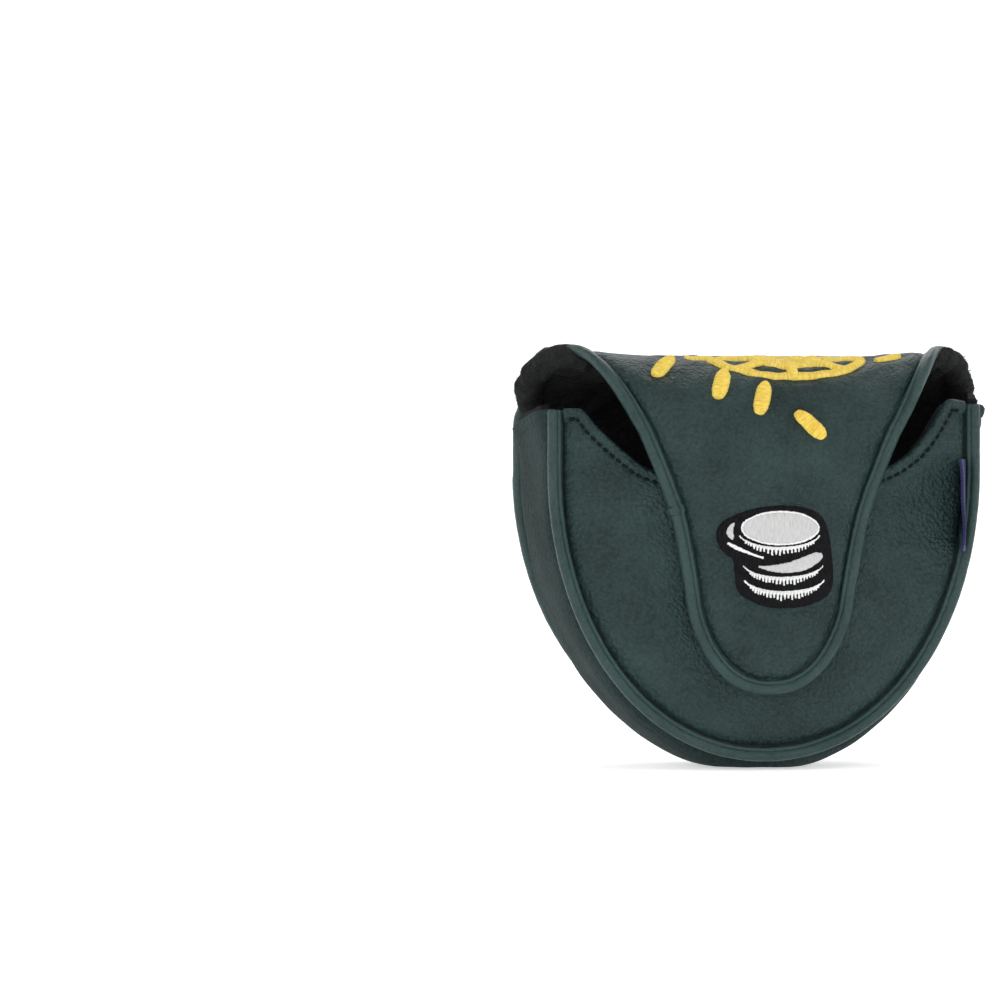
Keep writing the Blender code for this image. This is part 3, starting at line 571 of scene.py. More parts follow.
def stroke(points, half_width, taper=(1.0, 1.0), count=80):
    knots = np.arange(len(points))
    t = np.linspace(0, knots[-1], count)
    points = np.array(points, float)
    x, run = (through(list(zip(knots, points[:, k])), t) for k in (0, 1))
    share = t / knots[-1]
    return np.stack([x, run, half_width * (taper[0] + (taper[1] - taper[0]) * share)], -1)


def arc(centre, radii, half_width, start=0.0, end=360.0, count=120):
    angle = np.radians(np.linspace(start, end, count))
    x = centre[0] + radii[0] * np.cos(angle)
    return np.stack([x, centre[1] + radii[1] * np.sin(angle), np.full(count, half_width)], -1)


def disc(centre, half_length, half_width, angle=0.0, roundness=2, count=90):
    along = half_length * np.sin(np.radians(np.linspace(-89, 89, count)))
    width = half_width * (1 - np.abs(along / half_length) ** roundness) ** (1 / roundness)
    x = centre[0] + along * math.cos(angle)
    return np.stack([x, centre[1] + along * math.sin(angle), width], -1)


def dash(start, end, half_width=RAY):
    """A short plump dash."""
    start, end = np.array(start), np.array(end)
    along = end - start
    half_length = np.linalg.norm(along) / 2 + half_width
    return disc((start + end) / 2, half_length, half_width, math.atan2(along[1], along[0]), 2.6)


def round_ends(line, start=True, end=True):
    """A line with half a disc added at each end."""
    angle = np.radians(np.linspace(6, 86, 9))
    parts = [line]
    for at, use in ((0, start), (-1, end)):
        if not use:
            continue
        here = line[at]
        away = unit((line[0, :2] - line[1, :2]) if at == 0 else (line[-1, :2] - line[-2, :2]))
        places = here[:2] + away * (here[2] * np.sin(angle))[:, None]
        cap = np.column_stack([places, here[2] * np.cos(angle)])
        parts = [cap[::-1], *parts] if at == 0 else [*parts, cap]
    return np.concatenate(parts)


def is_ring(line):
    return np.hypot(*(line[0, :2] - line[-1, :2])) < 1e-6


def widened(line, by):
    """The same line with more width all round it."""
    if is_ring(line):
        return line + [0, 0, by]
    line = line.copy()
    for at, away in ((0, line[0, :2] - line[1, :2]), (-1, line[-1, :2] - line[-2, :2])):
        line[at, :2] += unit(away) * by * (1 if line[at, 2] < by else 0.3)
    return line + [0, 0, by]


BOLT = (  # a zig-zag bolt: place along it, and its lower and upper edges there
    (-1.00, -0.31, -0.27), (-0.62, -0.21, 0.04), (-0.16, -0.07, 0.30), (-0.10, -0.43, 0.33),
    (-0.04, -0.41, 0.36), (0.08, -0.35, 0.43), (0.14, -0.32, 0.45), (0.20, -0.29, 0.12),
    (0.62, -0.08, 0.30), (1.00, 0.10, 0.45),
)


def bolt(centre, degrees, length, width=0.0150):
    """A zig-zag bolt's filling, threaded straight across, and the line that runs round its edge."""
    tilt = math.radians(degrees)
    along = np.array((math.cos(tilt), math.sin(tilt)))
    side = np.array((-along[1], along[0]))
    table = np.array(BOLT)
    a = np.linspace(-1, 1, 240)
    low, high = (np.interp(a, table[:, 0], table[:, k]) * width for k in (1, 2))
    places = np.array(centre) + along * a[:, None] * length + side * ((low + high) / 2)[:, None]
    filling = np.column_stack([places, (high - low) / 2])
    corners = [(row[0] * length, row[1] * width) for row in BOLT]
    corners += [(row[0] * length, row[2] * width) for row in reversed(BOLT)]
    corners = np.array([*corners, corners[0]])
    edge = even(corners, 0.0004)[0]
    for _ in range(4):
        edge = (np.roll(edge[:-1], 1, 0) + edge[:-1] * 2 + np.roll(edge[:-1], -1, 0)) / 4
        edge = np.r_[edge, edge[:1]]
    places = np.array(centre) + along * edge[:, :1] + side * edge[:, 1:]
    return filling, np.column_stack([places, np.full(len(edge), 0.00105)]), along


def front_artwork():
    """The front's motifs, as (node, material, lines, height)."""
    pole = stroke(((-0.032, 0.096), (-0.0235, 0.071), (-0.0165, 0.0430)), STROKE)
    pennant = stroke(((-0.0282, 0.0850), (-0.0050, 0.0905)), 0.0075, (1.0, 0.15))
    hole = arc((-0.0160, 0.0458), (0.0092, 0.0030), STROKE)
    share = np.linspace(0, 1, 200)
    height = 0.0125 * (1 + share) * np.abs(np.sin(2 * math.pi * share))
    bounces = np.stack(
        [-0.0072 + 0.0165 * share, 0.0465 + 0.009 * share + height, np.full(200, STROKE)], -1
    )
    ball = disc((0.0096, 0.0568), 0.0036, 0.0036)
    tee_ball = arc((0.0265, 0.0600), (0.0056, 0.0056), STROKE)
    tee = stroke(((0.0240, 0.0548), (0.0150, 0.0345)), 0.0042, (1.0, 0.2))
    x = np.linspace(-0.005, 0.0325, 60)
    ground = np.stack([x, 0.0225 - 0.0015 * np.cos(x * 200), np.full(60, STROKE)], -1)
    grass = [ground]
    for i, x in enumerate(np.linspace(-0.003, 0.031, 7)):
        height = 0.0125 + 0.003 * math.cos(i * 2.2)
        lean = 0.0045 * math.sin(i * 1.7 + 0.5)
        middle = (x + lean * 0.3, 0.0215 + height * 0.55)
        grass.append(
            stroke(((x, 0.0215), middle, (x + lean, 0.0215 + height)), 0.0016, (1.0, 0.35))
        )
    return {
        "flag": ([pole, pennant, hole, bounces, ball], BLUE, "blue_thread"),
        "tee": ([tee, tee_ball], RED, "red_thread"),
        "grass": (grass, BRIGHT_GREEN, "green_bright_thread"),
    }


BOLTS = {
    "bolt_left": bolt((-0.0308, 0.0350), -62, 0.0235),
    "bolt_right": bolt((0.0438, 0.0770), -84, 0.0235),
}


def on_bend(x, degrees):
    return x, bend_run(math.radians(degrees))


FRONT_RAYS = {
    "ray_1": (on_bend(-0.0068, 55), on_bend(-0.0032, 69)),
    "ray_2": ((0.0048, 0.0958), (0.0048, 0.1015)),
    "ray_3": ((0.0210, 0.0945), (0.0184, 0.1012)),
}
FLAP_RAYS = {
    "ray_4": (on_bend(0.0247, 110), on_bend(0.0292, 132)),
    "ray_5": (on_bend(0.0118, 134), on_bend(0.0140, 153)),
    "ray_6": (on_bend(0.0016, 148), on_bend(0.0034, 166)),
    "ray_7": (on_bend(-0.0075, 172), on_bend(-0.0122, 184)),
    "ray_8": (on_bend(-0.0368, 107), on_bend(-0.0332, 111)),
}
PATCH_EDGE = (  # x and the patch's lowest and highest z there
    (-0.0163, 0.0505, 0.0512), (-0.0160, 0.0484, 0.0560), (-0.0151, 0.0466, 0.0620),
    (-0.0142, 0.0459, 0.0652), (-0.0124, 0.0450, 0.0678), (-0.0088, 0.0437, 0.0694),
    (-0.0030, 0.0431, 0.0702), (0.0023, 0.0437, 0.0698), (0.0063, 0.0453, 0.0691),
    (0.0090, 0.0473, 0.0682), (0.0100, 0.0500, 0.0678), (0.0104, 0.0552, 0.0676),
    (0.0121, 0.0569, 0.0668), (0.0138, 0.0587, 0.0655), (0.0147, 0.0604, 0.0642),
    (0.0151, 0.0619, 0.0629),
)


def patch_line(grow=0.0):
    """The patch as one broad line across, shaped round the stack of discs."""
    table = np.array(PATCH_EDGE)
    x = -0.00060 + 0.0157 * np.sin(np.radians(np.linspace(-90, 90, 160)))
    low, high = (through(table[:, [0, k]], x) for k in (1, 2))
    return np.stack([x, run_of_flap((low + high) / 2), (high - low) / 2 + grow], -1)


PATCH = patch_line()


def sun_lines():
    middle = np.array(on_bend(-0.0070, 106))
    radii = np.array((0.0205, 0.0115))
    ends = (-0.0260, middle[1]), tuple(middle), (0.0190, middle[1])
    lines = [
        arc(middle, radii, STROKE, 6, 174),
        stroke(ends, STROKE),
        arc(middle, (0.0070, 0.0046), 0.0030, 14, 166),
    ]
    for degrees in (45, 90, 135):
        spoke = radii * (math.cos(math.radians(degrees)), math.sin(math.radians(degrees)))
        lines.append(stroke((middle + spoke * 0.5, middle + spoke * 0.96), STROKE))
    return lines


# The strip of leather, as one fine grid with everything that presses on it


ART = front_artwork()
SUN = sun_lines()


def stitched_lines():
    """Every embroidered line on the strip, so that the leather is drawn down beside them."""
    lines = [line for lines, *_ in ART.values() for line in lines]
    lines += [line for filling, edge, _ in BOLTS.values() for line in (filling, edge)]
    lines += [dash(*ends) for ends in (*FRONT_RAYS.values(), *FLAP_RAYS.values())]
    around = [PATCH[:, 1] - PATCH[:, 2], PATCH[:, 1] + PATCH[:, 2]]
    return lines + SUN + [np.stack([PATCH[:, 0], run, 0 * run + 1e-4], -1) for run in around]


def beside_stitches(x, run):
    """How far each point is outside the nearest embroidered line."""
    rows = np.concatenate([line[::4] for line in stitched_lines()])
    gap = np.full(np.size(x), 1.0)
    flat_x, flat_run = np.ravel(x), np.ravel(run)
    for start in range(0, len(rows), 64):
        some = rows[start : start + 64]
        away = np.hypot(flat_x[:, None] - some[:, 0], flat_run[:, None] - some[:, 1])
        gap = np.minimum(gap, (away - some[:, 2]).min(1))
    return gap.reshape(np.shape(x))


def strip_rows():
    """Runs from the front's bottom to the flap's tip, closer at the ends and the meeting."""
    power = 2 / D_ROUNDNESS
    angle = np.radians(np.linspace(1.2, 90, 92))
    low = MIDDLE_Z - (MIDDLE_Z - FRONT_BOTTOM_Z) * np.cos(angle) ** power
    low[-1] = MIDDLE_Z
    meeting = bend_run(MEETING)
    middle = np.linspace(MIDDLE_Z, meeting - 5e-5, 52)[1:]
    top = np.r_[meeting, meeting + 5e-5]
    flap = np.linspace(meeting + 5e-5, run_of_flap(TIP_START_Z), 120)[1:]
    angle = np.radians(np.linspace(90, 1.5, 48))[1:]
    drop = (TIP_START_Z - FLAP_END_Z) * np.cos(angle) ** (2 / TIP_ROUNDNESS)
    return np.r_[low, middle, top, flap, run_of_flap(TIP_START_Z - drop)]


def edge_columns(count, crowding=0.45):
    """Places across from -1 to 1, closer together at the edges."""
    t = np.linspace(-1, 1, count)
    return (1 - crowding) * t + crowding * np.sin(t * math.pi / 2)


def rolled(distance, drop, width):
    """How far leather rolls down towards an edge."""
    inside = np.clip(1 - distance / width, 0, 1)
    return -drop * (1 - np.sqrt(np.maximum(1 - inside**2, 0)))


def strip_outline():
    """The strip's edge as (x, run), from the bottom of the front to the tip, on one side."""
    runs = np.r_[FRONT_BOTTOM_Z, STRIP_RUNS, run_of_flap(FLAP_END_Z)]
    fine = np.interp(np.linspace(0, len(runs) - 1, 3 * len(runs)), np.arange(len(runs)), runs)
    return np.stack([strip_half_width(fine), fine], -1)


STRIP_RUNS = strip_rows()
STRIP_US = edge_columns(201)


def build_strip():
    """Points and normals of the strip's outer face."""
    runs, us = STRIP_RUNS[:, None], STRIP_US[None]
    base = strip_point(runs, us)
    normal = grid_normals(base, 1)
    x = base[..., 0]
    run = np.broadcast_to(runs, x.shape)
    gap, along = distance_to(np.abs(x), run, strip_outline())
    height = rolled(gap, *STRIP_ROLL)
    height += 0.00025 * swell(gap, 0.0065, 0.0045)
    height += PUFF * smooth_step(gap / PUFF_RUN)
    side = np.where(x < 0, 0.37, 0.0)
    pucker = waves(3, 0.0035, 0.010)(along + side)
    height += 0.00016 * pucker * np.exp(-gap / 0.0035)
    inside = smooth_step(gap / 0.012)
    height += 0.00022 * waves(5, 0.012, 0.045)(x, run) * inside
    beside = np.maximum(beside_stitches(x, run), 0)
    draw = swell(beside, 0, 0.0016) - 0.45 * swell(beside, 0.0032, 0.0018)
    near = np.exp(-beside / 0.006)
    height -= 0.00042 * draw * (beside > 0)
    height -= 0.00042 * (beside <= 0)
    height += 0.00026 * waves(8, 0.004, 0.012)(x, run) * near * inside
    points = base + normal * height[..., None]
    return points, grid_normals(points, 1)


STRIP, STRIP_NORMALS = build_strip()


def on_strip(x, run):
    """A point and normal of the strip's outer face at each (x, run)."""
    u = x / strip_half_width(run)
    i = np.clip(np.searchsorted(STRIP_RUNS, run) - 1, 0, len(STRIP_RUNS) - 2)
    j = np.clip(np.searchsorted(STRIP_US, u) - 1, 0, len(STRIP_US) - 2)
    down = ((run - STRIP_RUNS[i]) / (STRIP_RUNS[i + 1] - STRIP_RUNS[i]))[..., None]
    right = ((u - STRIP_US[j]) / (STRIP_US[j + 1] - STRIP_US[j]))[..., None]
    found = []
    for grid in (STRIP, STRIP_NORMALS):
        near = grid[i, j] * (1 - right) + grid[i, j + 1] * right
        far = grid[i + 1, j] * (1 - right) + grid[i + 1, j + 1] * right
        found.append(near * (1 - down) + far * down)
    return found[0], unit(found[1])


def bend_place(angle):
    """A point in the middle of the bend, at one of a fold's angles."""
    return tuple(float(v) for v in strip_point(bend_run(angle), 0.0))


FRONT_BLEND = (("pocket", "bridge"), *(bend_place(angle) for angle in FRONT_FOLD))
FLAP_BLEND = (("bridge", "flap"), *(bend_place(angle) for angle in FLAP_FOLD))
MEETING_ROW = int(np.argmin(np.abs(STRIP_RUNS - bend_run(MEETING))))


def add_strip():
    uv = np.stack(np.broadcast_arrays(STRIP[..., 0], STRIP_RUNS[:, None]), -1)
    inner = STRIP - STRIP_NORMALS * LEATHER
    halves = (
        ("leather_front", slice(0, MEETING_ROW + 1), FRONT_BLEND, "front", "bridge"),
        ("leather_flap", slice(MEETING_ROW, None), FLAP_BLEND, "flap"),
    )
    for name, rows, blend, *bodies in halves:
        nodes = [f"{body}_{layer}" for body in bodies for layer in ("panel", "pad")]
        sheet = closed_sheet(STRIP[rows], inner[rows], uv[rows])
        piece = add_mesh(name, [sheet], GREEN, None, nodes, "green_leather", blend)


# Piping


def round_section(radius, count=8):
    angle = np.radians(np.arange(count) * 360 / count)
    return np.stack([radius * np.cos(angle), radius * np.sin(angle)], -1)


def strand_section(strands, count=56):
    """The outline of round strands side by side, each (across, up, radius), seen from the first."""
    angle = np.radians(np.arange(count) * 360 / count + 2)
    ways = np.stack([np.cos(angle), np.sin(angle)], -1)
    size = np.zeros(count)
    for across, up, radius in strands:
        centre = np.array((across, up))
        near = ways @ centre
        inside = radius**2 - centre @ centre + near**2
        reach = near + np.sqrt(np.maximum(inside, 0))
        size = np.maximum(size, np.where(inside > 0, reach, 0))
    return ways * size[:, None]


FLAP_STRANDS = ((0.00040, 0.0, 0.00150), (-0.00132, 0.00018, 0.00062))
BACK_STRANDS = ((0.00035, 0.0, 0.00145), (-0.00128, 0.00012, 0.00062))
FRONT_STRANDS = ((0.0, 0.0, 0.00188),)
CROSS_JOINT_Z = 0.0689  # where the flap's piping is joined on


def side_frames(runs, side, depth):
    """Piping centres beside one edge of the strip, with the ways out and up."""
    edge = strip_point(runs, float(side))
    inner = strip_point(runs, side * 0.97)
    tangent = unit(np.gradient(edge, axis=0))
    out = edge - inner
    out = unit(out - tangent * np.sum(out * tangent, -1, keepdims=True))
    up = unit(np.cross(out, tangent)) * side
    return edge + out * PIPING_REACH - up * depth, out, up


def joined(*frames):
    return [np.concatenate(rows) for rows in zip(*frames)]


def front_piping_frames():
    runs = np.linspace(MIDDLE_Z, bend_run(MEETING), 60)
    angle = np.radians(np.linspace(-88, 88, 150))
    half_width, bottom = FRONT_HALF_WIDTH + PIPING_REACH, FRONT_BOTTOM_Z - PIPING_REACH
    x, z = d_point(angle, half_width, bottom)
    path = np.stack([x, np.full(150, FRONT_SEAM_Y + PIPING_DEPTH), z], -1)
    tangent = unit(np.gradient(path, axis=0))
    up = np.broadcast_to((0.0, -1.0, 0.0), path.shape)
    bottom_frames = path, unit(np.cross(tangent, up)) * -1, up
    left = [rows[::-1] for rows in side_frames(runs, -1, PIPING_DEPTH)]
    return joined(left, bottom_frames, side_frames(runs, 1, PIPING_DEPTH))


def flap_piping_frames():
    runs = np.linspace(bend_run(MEETING), run_of_flap(TIP_START_Z + 0.001), 130)
    angle = np.radians(np.linspace(-86, 86, 90))
    power = 2 / TIP_ROUNDNESS
    drop = (TIP_START_Z - FLAP_END_Z) * np.cos(angle) ** power
    half_width = STRIP_EDGE[-1][1] - TIP_TAPER * drop
    x = half_width * np.sign(angle) * np.abs(np.sin(angle)) ** power
    z = TIP_START_Z - drop
    flat = np.stack([x, z], -1)
    tangent = unit(np.gradient(flat, axis=0))
    out = np.stack([tangent[:, 1], -tangent[:, 0]], -1)
    x, z = (flat + out * PIPING_REACH).T
    path = np.stack([x, flap_y(x, z) - FLAP_PIPING_DEPTH, z], -1)
    up = np.broadcast_to((0.0, 1.0, 0.0), path.shape)
    out = np.stack([out[:, 0], np.zeros(90), out[:, 1]], -1)
    left, right = (side_frames(runs, side, FLAP_PIPING_DEPTH) for side in (-1, 1))
    return joined(left, (path, out, up), [rows[::-1] for rows in right])


def back_piping_frames():
    half_width, bottom = BACK_HALF_WIDTH + PIPING_REACH, BACK_BOTTOM_Z - PIPING_REACH
    right, left = (np.linspace(top, MIDDLE_Z, 30) for top in (0.0973, 0.0954))
    x, z = d_point(np.radians(np.linspace(-89, 89, 170)), half_width, bottom)
    x = np.r_[np.full(30, -half_width), x, np.full(30, half_width)]
    z = np.r_[right, z, left[::-1]]
    path = np.stack([x, np.full(len(x), BACK_SEAM_Y - PIPING_DEPTH), z], -1)
    tangent = unit(np.gradient(path, axis=0))
    up = np.broadcast_to((0.0, 1.0, 0.0), path.shape)
    return [path, unit(np.cross(tangent, up)), up]


def flange(path, out, up, reach=0.0046, depth=0.0008, thickness=0.0005):
    """The piping's seam allowance, which runs in under the panel beside it."""
    ways = np.linspace(0, -reach, 12)
    top = -0.0008 - (depth - 0.0008) * smooth_step(-ways / 0.0013)
    top_grid, low_grid = (
        path[:, None] + out[:, None] * ways[None, :, None] + up[:, None] * height[None, :, None]
        for height in (top, top - thickness)
    )
    run = np.r_[0, np.cumsum(np.linalg.norm(np.diff(path, axis=0), axis=1))]
    uv = np.stack(np.broadcast_arrays(ways[None], run[:, None]), -1)
    return closed_sheet(top_grid, low_grid, uv)


def cross_joint(path, out, up, section):
    """A narrow band of leather round the flap's piping where its ends meet."""
    near = np.abs(path[:, 2] - CROSS_JOINT_Z) + 9 * (path[:, 0] < 0) + 9 * (path[:, 1] < 0.015)
    at = int(near.argmin())
    rows = slice(at - 2, at + 3)
    scale = np.array((1.00, 1.26, 1.32, 1.26, 1.00))
    return tube(path[rows], out[rows], up[rows], section, scale)


def add_piping():
    jobs = (
        ("piping_front", front_piping_frames(), FRONT_STRANDS, FRONT_BLEND,
         ("front_piping", "front_piping_core", "bridge_piping_left", "bridge_piping_right",
          "bridge_piping_left_core", "bridge_piping_right_core")),
        ("piping_flap", flap_piping_frames(), FLAP_STRANDS, FLAP_BLEND,
         ("flap_piping", "flap_piping_core")),
        ("piping_back", back_piping_frames(), BACK_STRANDS, None,
         ("back_piping", "back_piping_core")),
    )
    for name, frames, strands, blend, nodes in jobs:
        path, out, up = even(frames[0], PIPING_STEP, *frames[1:])
        up = unit(up)
        out = unit(out - up * np.sum(out * up, -1, keepdims=True))
        if name != "piping_flap":
            away = (path - (0, 0, 0.060)) * (1, 0, 1)
            out = out * np.sign(np.sum(out * away, -1, keepdims=True))
        along = np.arange(len(path)) * PIPING_STEP
        wobble = 1 + 0.016 * waves(21, 0.006, 0.03)(along) + 0.010 * waves(22, 0.003, 0.006)(along)
        section = strand_section(strands)
        if name == "piping_back":
            from_end = np.minimum(along, along[-1] - along)
            wobble = wobble * np.sqrt(np.clip(0.55 + from_end / 0.0016, 0, 1))
        depth = 0.0021 if name == "piping_back" else 0.0008
        parts = [tube(path, out, up, section, wobble), flange(path, out, up, depth=depth)]
        if name == "piping_flap":
            parts.append(cross_joint(path, out, up, section))
        add_mesh(name, parts, GREEN_PIPING, "pocket", nodes, "green_piping", blend, 60)


# The gusset


def gusset_rows(count=150, side_count=26):
    """Places along the gusset's length: from its left top, under the bottom, to its right top.
    Each is (side or 0, height share or angle)."""
    heights = np.linspace(1, 0, side_count)
    angles = np.radians(np.linspace(-90, 90, count))
    rows = [(-1, h) for h in heights[:-1]] + [(0, a) for a in angles]
    return rows + [(1, h) for h in heights[::-1][1:]]


def gusset_top(side, y):
    """The gusset's top hem, which falls from its back seam to its front one."""
    front, back = GUSSET_HEMS[side]
    share = np.clip((y - GUSSET_HEM_START) / GUSSET_HEM_RUN, 0, 1)
    return front + (back - front) * share


def gusset_points(y_values, lift=0.0):
    rows = []
    for side, place in gusset_rows():
        half, bottom, flare = (
            through([(row[0], row[k]) for row in GUSSET], y_values) for k in (1, 2, 3)
        )
        if side:
            top = gusset_top(side, y_values) + lift
            z = MIDDLE_Z + place * (top - MIDDLE_Z)
            splay = GUSSET_FLARE * (place**1.4) - GUSSET_DRAW
            x = side * (half + splay * flare)
        else:
            x, z = d_point(place, half - GUSSET_DRAW * flare, bottom)
            z = (z + np.sqrt(z * z + 4e-7)) / 2
        rows.append(np.stack([x, y_values, z], -1))
    return np.array(rows)


def add_gusset():
    front, back = GUSSET[0][0], GUSSET[-1][0]
    y_values = (front + back) / 2 + (back - front) / 2 * edge_columns(61, 0.5)
    points = gusset_points(y_values)
    normal = grid_normals(points, 1)
    normal *= -np.sign(normal[0, 0, 0])
    gap = np.minimum(y_values - front, back - y_values)[None]
    length = np.r_[0, np.cumsum(np.linalg.norm(np.diff(points[:, 30], axis=0), axis=1))]
    from_top = np.minimum(length, length[-1] - length)[:, None]
    along = np.broadcast_to(length[:, None], points.shape[:2])
    across = np.broadcast_to(y_values[None], points.shape[:2])
    height = rolled(gap, *GUSSET_ROLL) + rolled(from_top, *GUSSET_HEM_ROLL)
    height = height + 0.00025 * (from_top < 0.0030) * smooth_step((0.0030 - from_top) / 0.0006)
    height = height - 0.00030 * swell(from_top, 0.0034, 0.0006)
    height = height + 0.00018 * waves(31, 0.010, 0.040)(along, across) * smooth_step(gap / 0.006)
    height = height + 0.00014 * waves(33, 0.0035, 0.009)(along) * np.exp(-gap / 0.0030)
    outer = points + normal * height[..., None]
    outer[..., 2] = np.maximum(outer[..., 2], 0.0)
    inner = outer - normal * LEATHER
    uv = np.stack([across + 0.2, along], -1)
    sheet = closed_sheet(outer, inner, uv)
    piece = add_mesh("leather_gusset", [sheet], GREEN_SIDE, "pocket", ["gusset"], "green_leather")


# The back panel


SCOOP = {  # the height of the panel's free top edge at each distance from its middle
    1: ((0, 0.0778), (0.024, 0.0780), (0.0331, 0.0804), (0.0377, 0.0838), (0.0412, 0.0868),
        (0.0458, 0.0912), (0.0486, 0.0947), (0.0500, 0.0957), (0.0543, 0.0958)),
    -1: ((0, 0.0778), (0.024, 0.0782), (0.0312, 0.0800), (0.0360, 0.0825), (0.0395, 0.0852),
         (0.0432, 0.0894), (0.0462, 0.0942), (0.0486, 0.0978), (0.0500, 0.0986), (0.0543, 0.0980)),
}


def scoop_top(x):
    return np.where(x > 0, through(SCOOP[1], np.abs(x)), through(SCOOP[-1], np.abs(x)))


def back_points(lower=0.0, inset=0.0, rows=130, columns=161):
    us = edge_columns(columns, 0.4)
    angle = np.radians(np.linspace(1.5, 90, rows - 30))
    half, side_z = d_point(angle, BACK_HALF_WIDTH, BACK_BOTTOM_Z)
    side_z = np.r_[side_z, np.linspace(MIDDLE_Z, SHOULDER_Z, 31)[1:]]
    half = np.r_[half, np.full(30, BACK_HALF_WIDTH)] - inset
    share = (side_z - BACK_BOTTOM_Z) / (SHOULDER_Z - BACK_BOTTOM_Z)
    x = us[None] * half[:, None]
    top = scoop_top(us * BACK_HALF_WIDTH)[None] - lower
    z = np.maximum(BACK_BOTTOM_Z + share[:, None] * (top - BACK_BOTTOM_Z), BACK_BOTTOM_Z)
    return np.stack([x, back_y(x, z), z], -1)


def back_outline():
    """The back panel's sewn edge and its free edge, as (x, z)."""
    x, z = d_point(np.radians(np.linspace(-90, 90, 500)), BACK_HALF_WIDTH, BACK_BOTTOM_Z)
    heights = np.linspace(SHOULDER_Z + 0.004, MIDDLE_Z, 80)
    x = np.r_[np.full(80, -BACK_HALF_WIDTH), x, np.full(80, BACK_HALF_WIDTH)]
    z = np.r_[heights, z, heights[::-1]]
    top = np.linspace(-BACK_HALF_WIDTH, BACK_HALF_WIDTH, 600)
    return np.stack([x, z], -1), np.stack([top, scoop_top(top)], -1)


def back_height(x, z):
    sewn, free = back_outline()
    gap, along = distance_to(x, z, sewn)
    hem, _ = distance_to(x, z, free)
    closed = smooth_step((scoop_top(x) - z - 0.0024) / 0.0016)
    height = rolled(gap, *BACK_ROLL) * closed + rolled(gap, *BACK_MOUTH_ROLL) * (1 - closed)
    height += 0.00025 * swell(gap, 0.0060, 0.0040)
    height += PUFF * smooth_step(gap / PUFF_RUN)
    height += 0.00016 * waves(41, 0.0035, 0.010)(along) * np.exp(-gap / 0.0030)
    height += rolled(hem, *SCOOP_HEM_ROLL)
    height += 0.00028 * smooth_step((0.0027 - hem) / 0.0008)
    height -= 0.00030 * swell(hem, 0.0030, 0.0006)
    height += 0.00024 * waves(43, 0.012, 0.040)(x, z) * smooth_step(gap / 0.010)
    return height


def add_back_panel():
    points = back_points()
    normal = grid_normals(points, -1)
    height = back_height(points[..., 0], points[..., 2])
    outer = points + normal * height[..., None]
    uv = points[..., [0, 2]] + [0.4, 0.0]
    sheet = closed_sheet(outer, outer - normal * LEATHER, uv)
    piece = add_mesh(
        "leather_back", [sheet], GREEN, "pocket", ["back_panel", "back_pad"], "green_leather"
    )


def on_back(x, z):
    height = back_height(x, z)
    point = np.stack([x, back_y(x, z), z], -1)
    step = 1e-4
    along_x = np.stack([x + step, back_y(x + step, z), z], -1) - point
    along_z = np.stack([x, back_y(x, z + step), z + step], -1) - point
    normal = unit(np.cross(along_z, along_x))
    return point + normal * height[..., None], normal


def stitch(start, end, up, radius=0.00046):
    """One stitch: a short thread that dives into the leather at both ends."""
    t = np.linspace(0, 1, 9)[:, None]
    arch = np.sin(t * math.pi) ** 0.6
    path = start + (end - start) * t + up * (arch * 0.00045 - 0.00030)
    tangent = unit(np.gradient(path, axis=0))
    across = unit(np.cross(tangent, up))
    scale = 0.75 + 0.25 * arch[:, 0]
    section = round_section(radius)
    return tube(path, across, unit(np.cross(across, tangent)), section, scale)


TOPSTITCH_INSET = 0.0029


def add_topstitch():
    """Stitches along each shoulder's hem and down into the scoop, as far as the flap."""
    for side, name in ((1, "topstitch_left"), (-1, "topstitch_right")):
        x = side * np.linspace(*TOPSTITCH_X, 300)
        edge = np.stack([x, scoop_top(x)], -1)
        tangent = unit(np.gradient(edge, axis=0))
        inward = np.stack([tangent[:, 1], -tangent[:, 0]], -1) * side
        line = even(edge + inward * TOPSTITCH_INSET * np.sign(-inward[:, 1:]), 0.0001)[0]
        spacing, length = 22, 13  # in steps of 0.1 mm
        parts = []
        for i in range(0, len(line) - length, spacing):
            ends, normal = on_back(line[[i, i + length], 0], line[[i, i + length], 1])
            parts.append(stitch(ends[0], ends[1], unit(normal.sum(0))))
        add_mesh(name + "_thread", parts, GREEN_THREAD, "pocket", [name], "green_thread")


# Plush


def pile(points, normals, seed, clump=0.0003, soft=0.0004):
    """The points with a pile's clumps on them."""
    a, b = points[..., 0] + points[..., 1] * 0.7, points[..., 2] + points[..., 1]
    rough = clump * waves(seed, 0.0012, 0.0030, 24)(a, b)
    rough = rough + soft * waves(seed + 1, 0.006, 0.016)(a, b)
    return points + normals * rough[..., None]


